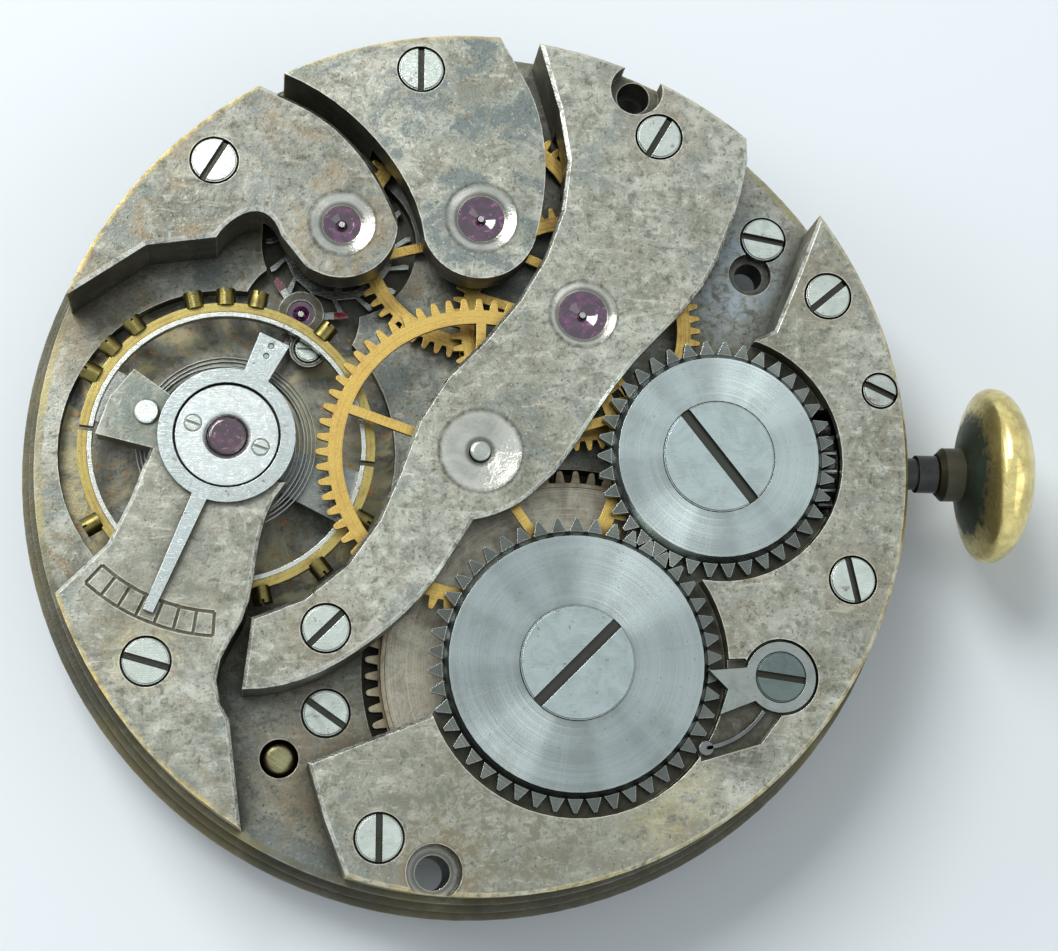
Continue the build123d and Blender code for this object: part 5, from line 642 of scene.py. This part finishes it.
def strip_along(name, points, thickness, height):
    """A thin strip on edge along points, made from a path whose points are laid one by one."""
    bpy.ops.curve.primitive_nurbs_path_add(location=(0, 0, 0))
    piece = bpy.context.object
    piece.name = name
    bpy.ops.object.mode_set(mode="EDIT")
    bpy.ops.curve.select_all(action="SELECT")
    bpy.ops.curve.spline_type_set(type="POLY")
    bpy.ops.curve.select_all(action="SELECT")
    bpy.ops.curve.subdivide(number_cuts=(len(points) - PATH_POINTS) // (PATH_POINTS - 1))
    bpy.ops.object.mode_set(mode="OBJECT")
    laid = piece.data.splines[0].points
    if len(laid) != len(points):
        raise RuntimeError(f"{name} has {len(laid)} points, not {len(points)}")
    for point, place in zip(laid, points):
        point.co = (*place, 1.0)
    piece.data.twist_mode = "Z_UP"
    piece.data.extrude = height / 2
    bpy.ops.object.convert(target="MESH")
    wall = piece.modifiers.new("Thickness", "SOLIDIFY")
    wall.thickness = thickness
    wall.offset = 0.0
    bpy.ops.object.modifier_apply(modifier=wall.name)
    edge = piece.modifiers.new("Edge", "BEVEL")
    edge.width = thickness / 8
    edge.segments = 1
    edge.limit_method = "ANGLE"
    bpy.ops.object.modifier_apply(modifier=edge.name)
    bpy.ops.object.mode_set(mode="EDIT")
    bpy.ops.mesh.select_all(action="SELECT")
    bpy.ops.mesh.normals_make_consistent(inside=False)
    bpy.ops.object.mode_set(mode="OBJECT")
    bpy.ops.object.shade_smooth_by_angle(angle=radians(35))
    return piece


def path_count(wanted):
    """The nearest number of points at or over the wanted one that a subdivided path can have."""
    parts = PATH_POINTS - 1
    return PATH_POINTS + parts * max(0, -(-(wanted - PATH_POINTS) // parts))


def along(count):
    """Evenly spread shares from nothing to one."""
    return [step / (count - 1) for step in range(count)]


def polar(centre, radius, angle, height):
    """A point at a radius and an angle in degrees round a centre, at a height."""
    return (centre[0] + radius * cos(radians(angle)), centre[1] + radius * sin(radians(angle)), height)


def spiral(centre, inner, outer, turns, end_angle, height):
    """Points along flat turns that widen evenly and end at an angle."""
    return [polar(centre, inner + (outer - inner) * part, end_angle - 360 * turns * (1 - part), height)
            for part in along(path_count(turns * 48))]


def lathe(name, centre, outline, steps):
    """A turned piece: a ring extruded and scaled through an outline of (radius, height)."""
    first = outline[0]
    bpy.ops.mesh.primitive_circle_add(vertices=steps, radius=first[0],
                                      location=(centre[0], centre[1], first[1]))
    piece = bpy.context.object
    piece.name = name
    bpy.ops.object.mode_set(mode="EDIT")
    bpy.ops.mesh.select_all(action="SELECT")
    here = first
    for radius, height in outline[1:]:
        bpy.ops.mesh.extrude_region_move(TRANSFORM_OT_translate={"value": (0, 0, height - here[1])})
        bpy.ops.transform.resize(value=(radius / here[0], radius / here[0], 1),
                                 center_override=(centre[0], centre[1], height))
        here = (radius, height)
    bpy.ops.object.mode_set(mode="OBJECT")
    return piece


def settle(piece):
    """Puts a finished piece's object at the origin, with its place in its mesh."""
    select(piece)
    bpy.ops.object.transform_apply(location=True, rotation=True, scale=True)


def join(main, *others):
    """Joins meshes into the first."""
    select(main, *others)
    bpy.ops.object.join()
    return main


def fit(piece, finish, slot, body, *nodes):
    """Finishes a piece, puts it on its body and has it stand for its CAD nodes."""
    settle(piece)
    piece.data.materials.clear()
    piece.data.materials.append(finish.material)
    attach(piece, body)
    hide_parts(*nodes)


# Operators
class MOVEMENT_OT_plate(bpy.types.Operator):
    """Finish the main plate with dull, stained nickel, with painted shade in its recesses"""
    bl_idname = "movement.plate"
    bl_label = "Main plate"

    def execute(self, context):
        dress(OldNickel(
            "plate_nickel", 1.0, tone=0.85, tarnish=0.7, stain=0.8, brass=0.35, deep=PLATE_TOP - 0.03 * MM,
            spots=(
                (7.3, 5.6, 1.5, 0.65, (0.42, 0.50, 0.56)), (-4.0, -8.3, 1.6, 0.70),
                (-10.5, 3.5, 1.5, 0.60, times(colours().stain, 0.7)),
            ),
        ), "main_plate")
        return {"FINISHED"}


class MOVEMENT_OT_bridges(bpy.types.Operator):
    """Finish each bridge and cock with its own patches of tarnish"""
    bl_idname = "movement.bridges"
    bl_label = "Bridges and cocks"

    def execute(self, context):
        paint = colours()
        dull, brassy = times(paint.shade, 0.7, 0.68, 0.62), (0.42, 0.34, 0.13)
        dress(OldNickel(
            "barrel_bridge_nickel", 2.0, tone=0.98, tarnish=0.35, stain=0.50, brass=0.75,
            sinks=((CASE_HOLE, 0.70 * MM, 0.45 * MM),),
            spots=(
                # Painted shade: the dark patch at the click spring's recess, and the dull patch over the
                # bridge's lower end, darker towards the bottom.
                (6.8, -7.4, 0.9, 0.9, times(paint.grime_and_shade, 1.8)), (0.6, -9.4, 3.2, 0.95, dull),
                (-1.1, -10.9, 1.1, 0.6), (10.0, -3.3, 0.9, 0.5), (9.4, 4.5, 0.9, 0.5),
                (5.0, -9.2, 1.2, 0.35, brassy),
            ),
        ), "barrel_bridge")
        dress(OldNickel(
            "train_bridge_nickel", 3.7, tone=0.92, tarnish=0.30, stain=0.30, brass=0.30,
            sinks=((THIRD, 0.90 * MM, 0.65 * MM), (CENTRE, 1.10 * MM, 0.28 * MM)),
            spots=((-4.0, -4.8, 0.9, 0.5), (4.9, 8.9, 0.9, 0.5)),
        ), "train_bridge")
        dress(OldNickel(
            "fourth_cock_nickel", 5.2, tone=0.94, tarnish=0.95, stain=0.35, brass=0.35,
            sinks=((FOURTH, 0.95 * MM, 0.62 * MM),), spots=((-0.6, 9.6, 1.0, 0.55, paint.tarnish),),
        ), "fourth_wheel_cock")
        dress(OldNickel(
            "escape_cock_nickel", 6.9, tone=0.62, tarnish=0.45, stain=0.90, brass=0.65,
            sinks=((ESCAPE, 0.88 * MM, 0.50 * MM),), spots=((-6.0, 4.9, 1.2, 0.6),),
        ), "escape_wheel_cock")
        dress(OldNickel(
            "balance_cock_nickel", 8.1, tone=0.88, tarnish=0.45, stain=0.45, brass=0.95,
            spots=(
                (-8.7, 0.9, 1.1, 0.85, (0.11, 0.14, 0.125)), (-8.4, -3.6, 1.5, 0.6, dull),
                (-8.6, -5.6, 0.8, 0.4, brassy),
            ),
        ), "balance_cock")
        dress(OldNickel("pallet_cock_nickel", 9.4, tone=0.50, tarnish=0.80, stain=0.60, brass=0.50),
              "pallet_cock")
        return {"FINISHED"}


class MOVEMENT_OT_screws(bpy.types.Operator):
    """Finish the screws with scratched steel and painted shade in their slots, and the locating stud with
    dull brass
    """
    bl_idname = "movement.screws"
    bl_label = "Screws and stud"

    def execute(self, context):
        paint = colours()
        for node, tone, rough, rust, turn in (
            ("bridge_screws", paint.steel, 0.20, 0.45, 62.0),
            ("dial_foot_screws", paint.steel, 0.22, 0.60, 20.0),
            ("setting_lever_screw", times(paint.steel, 0.8), 0.24, 0.6, 62.0),
            ("crown_wheel_screw", paint.wide, 0.24, 0.0, -38.0),
            ("ratchet_screw", times(paint.wide, 0.92), 0.24, 0.25, 52.0),
            ("click_screw", (0.15, 0.19, 0.18), 0.26, 0.2, 12.0),
        ):
            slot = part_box(node)[1].z - SLOT_DEPTH
            dress(polished_steel(node + "_steel", tone, rough, 1.0, rust, turn, slot), node)
        dress(polished_steel("small_screw_steel", paint.steel, 0.20, 1.0, 0.2, 40.0), "small_screws")
        dress(gilt_wheel("stud_brass", CENTRE, (0.30, 0.29, 0.15), 0.4), "locating_stud")
        return {"FINISHED"}


class MOVEMENT_OT_winding_wheels(bpy.types.Operator):
    """Finish the ratchet wheel, the crown wheel and the click"""
    bl_idname = "movement.winding_wheels"
    bl_label = "Winding wheels and click"

    def execute(self, context):
        hub = 1.45 * MM
        dress(ground_wheel("ratchet_steel", "ratchet_wheel", BARREL, 0.875, hub, 0.90), "ratchet_wheel")
        dress(ground_wheel("crown_wheel_steel", "crown_wheel", CROWN_WHEEL, 0.86, hub, 1.12), "crown_wheel")
        dress(polished_steel("click_steel", (0.30, 0.33, 0.31), 0.26, 1.0, 0.3, 10.0), "click")
        return {"FINISHED"}


class MOVEMENT_OT_train(bpy.types.Operator):
    """Finish the wheels and arbors of the going train and the barrel"""
    bl_idname = "movement.train"
    bl_label = "Going train and barrel"

    def execute(self, context):
        dress(gilt_wheel("centre_wheel_gilt", CENTRE, None, 0.25), "centre_wheel")
        dress(gilt_wheel("third_wheel_gilt", THIRD, None, 0.40), "third_wheel")
        dress(gilt_wheel("fourth_wheel_gilt", FOURTH, None, 0.40), "fourth_wheel")
        dress(gilt_wheel("barrel_brass", BARREL, (0.34, 0.30, 0.20), 0.5, 0.36), "barrel_drum")
        dress(gilt_wheel("cover_brass", BARREL, (0.36, 0.34, 0.26), 0.3, 0.40), "barrel_cover")
        dress(polished_steel("arbor_steel", (0.46, 0.48, 0.44), corner_shade=0.8), "centre_arbor", "third_arbor",
              "fourth_arbor", "escape_arbor", "barrel_arbor")
        return {"FINISHED"}


class MOVEMENT_OT_escapement(bpy.types.Operator):
    """Finish the escape wheel and the pallet fork"""
    bl_idname = "movement.escapement"
    bl_label = "Escapement"

    def execute(self, context):
        dress(polished_steel("escape_steel", (0.40, 0.42, 0.40), 0.22, 0.8), "escape_wheel")
        dress(polished_steel("pallet_steel", (0.42, 0.44, 0.42), 0.20, 0.8), "pallet_fork")
        return {"FINISHED"}


class MOVEMENT_OT_jewels(bpy.types.Operator):
    """Finish the ring jewels, cap jewels and stones in ruby"""
    bl_idname = "movement.jewels"
    bl_label = "Jewels"

    def execute(self, context):
        dress(ruby_stone("ring_ruby"), "train_jewels", "balance_hole_jewels")
        dress(ruby_stone("cap_ruby", (0.20, 0.05, 0.13)), "balance_cap_jewels")
        dress(ruby_stone("pallet_ruby", colours().stone, 0.20), "pallet_stones", "impulse_jewel")
        return {"FINISHED"}


class MOVEMENT_OT_balance(bpy.types.Operator):
    """Finish the balance, its rim, screws, staff and roller"""
    bl_idname = "movement.balance"
    bl_label = "Balance"

    def execute(self, context):
        paint = colours()
        arms = (BALANCE, 3.50 * MM)
        dress(polished_steel("balance_steel", (0.60, 0.61, 0.55), corner_shade=0.7, rust=0.35, dull=arms),
              "balance_wheel")
        dress(gilt_wheel("balance_rim_brass", BALANCE, paint.rim, 0.40), "balance_rim")
        dress(gilt_wheel("balance_screw_brass", BALANCE, paint.weights, 0.35), "balance_screws")
        dress(polished_steel("staff_steel", (0.50, 0.52, 0.50), 0.16, 0.8), "balance_staff", "roller")
        return {"FINISHED"}


class MOVEMENT_OT_regulator(bpy.types.Operator):
    """Finish the regulator, the cap plates and the hairspring stud"""
    bl_idname = "movement.regulator"
    bl_label = "Regulator and cap"

    def execute(self, context):
        dress(polished_steel("regulator_steel", (0.56, 0.61, 0.59), 0.18, 0.9, 0.35, -22.0), "regulator")
        dress(polished_steel("cap_steel", (0.76, 0.80, 0.78), 0.16, 0.9, 0.0, 40.0), "upper_cap_plate",
              "lower_cap_plate")
        dress(polished_steel("stud_steel", (0.74, 0.79, 0.73), 0.20, 0.9), "hairspring_stud")
        return {"FINISHED"}


class MOVEMENT_OT_keyless(bpy.types.Operator):
    """Finish the stem, the clutch, the levers and the motion work"""
    bl_idname = "movement.keyless"
    bl_label = "Keyless work and motion work"

    def execute(self, context):
        dress(grey_metal("stem_steel", (0.045, 0.045, 0.045), 0.40), "winding_stem")
        dress(polished_steel("keyless_steel", (0.36, 0.38, 0.36), 0.26, 0.9, 0.4), "winding_pinion",
              "sliding_pinion", "setting_lever", "yoke", "setting_cover")
        dress(polished_steel("cannon_steel", (0.50, 0.52, 0.50), 0.22, 0.8), "cannon_pinion")
        dress(grey_metal("setting_wheel_steel", (0.42, 0.43, 0.41), 0.36), "setting_wheel")
        dress(gilt_wheel("minute_wheel_gilt", MINUTE), "minute_wheel")
        dress(gilt_wheel("hour_wheel_gilt", CENTRE), "hour_wheel")
        return {"FINISHED"}


class MOVEMENT_OT_crown(bpy.types.Operator):
    """Finish the crown in worn gilt with a green inner face"""
    bl_idname = "movement.crown"
    bl_label = "Crown"

    def execute(self, context):
        dress(gilt_crown("crown_gilt"), "crown")
        return {"FINISHED"}


class MOVEMENT_OT_hairspring(bpy.types.Operator):
    """Model the hairspring: collet, flat coils and raised outer coil"""
    bl_idname = "movement.hairspring"
    bl_label = "Hairspring"

    def execute(self, context):
        size = sizes()
        strip_high, raised_high = 0.15 * MM, 0.12 * MM
        flat_z = 2.15 * MM + strip_high / 2
        raised_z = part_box("hairspring")[1].z - raised_high / 2
        inner, outer, end_angle = size.hairspring_in, size.hairspring_out, -130.0
        points = spiral(BALANCE, inner, outer, 18, end_angle, flat_z)
        points += self.raised_coil(outer, end_angle, flat_z, raised_z)
        points += [points[-1]] * (path_count(len(points)) - len(points))
        spring = strip_along("hairspring_coils", points, size.hairspring_strip, strip_high)
        bore, wide, low, high = 0.215 * MM, 0.50 * MM, 2.11 * MM, 2.33 * MM
        across, down = 0.04 * MM, 0.03 * MM
        collet = lathe("collet", BALANCE, (
            (bore, low), (wide - across, low), (wide, low + down), (wide, high - down),
            (wide - across, high), (bore, high), (bore, low),
        ), 48)
        spring = join(spring, collet)
        fit(spring, spring_steel("hairspring_steel", BALANCE), "spring_steel", "balance", "hairspring")
        return {"FINISHED"}

    def raised_coil(self, radius, angle, flat_z, raised_z):
        """The outer turn: it climbs, draws in to the curb and ends at the stud."""
        points, here = [], (radius, angle, flat_z)
        for steps, there in (
            (40, (2.03 * MM, -30.0, raised_z)),
            (30, (2.03 * MM, 65.5, raised_z)),
            (30, (2.16 * MM, 158.2, raised_z)),
        ):
            for part in along(steps)[1:]:
                ease = part * part * (3 - 2 * part)
                shares = (ease, part, min(1.0, ease * 3))
                points.append(polar(BALANCE, *(
                    first + (last - first) * share for first, last, share in zip(here, there, shares)
                )))
            here = there
        return points


class MOVEMENT_OT_mainspring(bpy.types.Operator):
    """Model the mainspring wound in its barrel"""
    bl_idname = "movement.mainspring"
    bl_label = "Mainspring"

    def execute(self, context):
        size = sizes()
        low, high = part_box("mainspring")
        middle = (low.z + high.z) / 2
        points = spiral(BARREL, size.mainspring_in, size.mainspring_out, 12, 0.0, middle)
        spring = strip_along("mainspring_coils", points, size.mainspring_strip, high.z - low.z)
        fit(spring, spring_steel("mainspring_steel", BARREL), "spring_steel", "barrel", "mainspring")
        return {"FINISHED"}


class MOVEMENT_OT_blade_springs(bpy.types.Operator):
    """Model the click spring and the yoke spring as bent blades with feet"""
    bl_idname = "movement.blade_springs"
    bl_label = "Blade springs"

    def execute(self, context):
        self.blade("click_spring", ((5.952, -7.747), (6.855, -7.400), (7.504, -6.751)), 0.20 * MM,
                   0.14 * MM)
        self.blade("yoke_spring", ((6.554, 3.254), (6.948, 2.374), (7.180, 1.505)), 0.25 * MM, 0.24 * MM)
        return {"FINISHED"}

    def blade(self, node, shape, foot_radius, height):
        """A blade bent through three points in millimetres, with a round foot at the first."""
        low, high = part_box(node)
        blade_high = low.z + height
        start, middle, end = [Vector((x * MM, y * MM, 0)) for x, y in shape]
        control = 2 * middle - (start + end) / 2
        points = []
        for part in along(path_count(25)):
            place = start * (1 - part) ** 2 + control * 2 * part * (1 - part) + end * part ** 2
            points.append((place.x, place.y, (low.z + blade_high) / 2))
        spring = strip_along(node + "_blade", points, 0.12 * MM, height)
        edge = foot_radius / 10
        foot = lathe(node + "_foot", start, (
            (edge, low.z), (foot_radius, low.z), (foot_radius, high.z - edge),
            (foot_radius - edge, high.z), (edge, high.z), (edge, low.z),
        ), 32)
        spring = join(spring, foot)
        # A share of 0.8 paints the blades' upper edges darker: painted shade.
        fit(spring, spring_steel(node + "_steel", start, 0.8), "spring_steel", "frame", node)


class MOVEMENT_OT_stage(bpy.types.Operator):
    """Lay the floor and set the lights and the camera"""
    bl_idname = "movement.stage"
    bl_label = "Stage and camera"

    def execute(self, context):
        self.floor()
        self.sky()
        self.lamp("key_light", (-75, 95, 150), 90, 0.27)
        self.lamp("edge_light", (-150, 50, 70), 60, 0.07)
        self.lamp("fill_light", (120, -60, 110), 140, 0.05)
        self.camera()
        context.scene.view_settings.view_transform = "Standard"
        return {"FINISHED"}

    def floor(self):
        """A pale floor just under the lowest part."""
        level = CAD_BOX[0][2] - sizes().floor_gap
        bpy.ops.mesh.primitive_plane_add(size=FLOOR_SIZE, location=(0, 0, level))
        floor = bpy.context.object
        floor.name = "floor"
        finish = Finish("pale_floor")
        cloud = finish.noise(60 * MM, 3.0, 0.5)
        tone = colours().floor
        finish.body = finish.mix(finish.span(cloud, 0.3, 0.7, 0.0, 0.5), tone, times(tone, 0.97))
        finish.shine(Roughness=0.75)
        floor.data.materials.append(finish.material)

    def sky(self):
        """Soft light all round, white where it is seen or mirrored."""
        world = bpy.data.worlds.new("soft_room")
        bpy.context.scene.world = world
        world.use_nodes = True
        nodes, links = world.node_tree.nodes, world.node_tree.links
        room, white = nodes["Background"], nodes.new("ShaderNodeBackground")
        for light, tone, strength in ((room, (0.93, 0.97, 1.0), 0.36), (white, (0.90, 0.96, 1.0), 1.0)):
            light.inputs["Color"].default_value = (*tone, 1.0)
            light.inputs["Strength"].default_value = strength
        path = nodes.new("ShaderNodeLightPath")
        seen = path.outputs["Is Camera Ray"]
        for ray in ("Is Glossy Ray", "Is Transmission Ray"):
            either = nodes.new("ShaderNodeMath")
            either.operation = "MAXIMUM"
            links.new(seen, either.inputs[0])
            links.new(path.outputs[ray], either.inputs[1])
            seen = either.outputs[0]
        blend = nodes.new("ShaderNodeMixShader")
        for output, target in zip((seen, room.outputs[0], white.outputs[0]), blend.inputs):
            links.new(output, target)
        links.new(blend.outputs[0], nodes["World Output"].inputs["Surface"])

    def lamp(self, name, place, width, watts):
        """A square soft light aimed at the middle of the movement."""
        stand = Vector(place) * MM
        bpy.ops.object.light_add(type="AREA", location=stand)
        light = bpy.context.object
        light.name = name
        light.data.shape = "SQUARE"
        light.data.size = width * MM
        light.data.energy = watts
        light.rotation_euler = (-stand).to_track_quat("-Z", "Y").to_euler()

    def camera(self):
        """The photograph's view: nearly from above."""
        target = Vector((1.28, -0.64, 3.30)) * MM
        azimuth, elevation = radians(-30.36), radians(76.88)
        away = Vector((sin(azimuth) * cos(elevation), -cos(azimuth) * cos(elevation), sin(elevation)))
        place = target + away * sizes().camera_distance
        bpy.ops.object.camera_add(location=place)
        camera = bpy.context.object
        camera.name = "camera"
        right = Vector((0, 1, 0)).cross(away).normalized()
        axes = Matrix((right, away.cross(right), away)).transposed().to_4x4()
        camera.matrix_world = Matrix.Translation(place) @ axes
        camera.data.sensor_width = SENSOR_WIDTH
        camera.data.lens = SENSOR_WIDTH * FOCAL_LENGTH_PX / PHOTO_WIDTH_PX
        camera.data.clip_start = 1 * MM
        camera.data.clip_end = 5.0
        bpy.context.scene.camera = camera


TASKS = (
    MOVEMENT_OT_plate, MOVEMENT_OT_bridges, MOVEMENT_OT_screws, MOVEMENT_OT_winding_wheels,
    MOVEMENT_OT_train, MOVEMENT_OT_escapement, MOVEMENT_OT_jewels, MOVEMENT_OT_balance,
    MOVEMENT_OT_regulator, MOVEMENT_OT_keyless, MOVEMENT_OT_crown, MOVEMENT_OT_hairspring,
    MOVEMENT_OT_mainspring, MOVEMENT_OT_blade_springs, MOVEMENT_OT_stage,
)


class MOVEMENT_PT_panel(bpy.types.Panel):
    """Lists the movement's operators and settings"""
    bl_idname = "MOVEMENT_PT_panel"
    bl_label = "Watch movement"
    bl_space_type = "VIEW_3D"
    bl_region_type = "UI"
    bl_category = "Movement"

    def draw(self, context):
        column = self.layout.column()
        for task in TASKS:
            column.operator(task.bl_idname)
        for group in (context.scene.movement_colours, context.scene.movement_sizes):
            for name in group.__annotations__:
                column.prop(group, name)


CLASSES = (MovementColours, MovementSizes, *TASKS, MOVEMENT_PT_panel)


def register():
    """Registers the settings, the operators and the panel."""
    for kind in CLASSES:
        bpy.utils.register_class(kind)
    bpy.types.Scene.movement_colours = bpy.props.PointerProperty(type=MovementColours)
    bpy.types.Scene.movement_sizes = bpy.props.PointerProperty(type=MovementSizes)


def unregister():
    """Removes what register added."""
    del bpy.types.Scene.movement_sizes
    del bpy.types.Scene.movement_colours
    for kind in reversed(CLASSES):
        bpy.utils.unregister_class(kind)


def main():
    """Runs every operator in order."""
    register()
    for task in TASKS:
        family, name = task.bl_idname.split(".")
        getattr(getattr(bpy.ops, family), name)()
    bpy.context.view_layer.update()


if __name__ == "__main__":
    main()
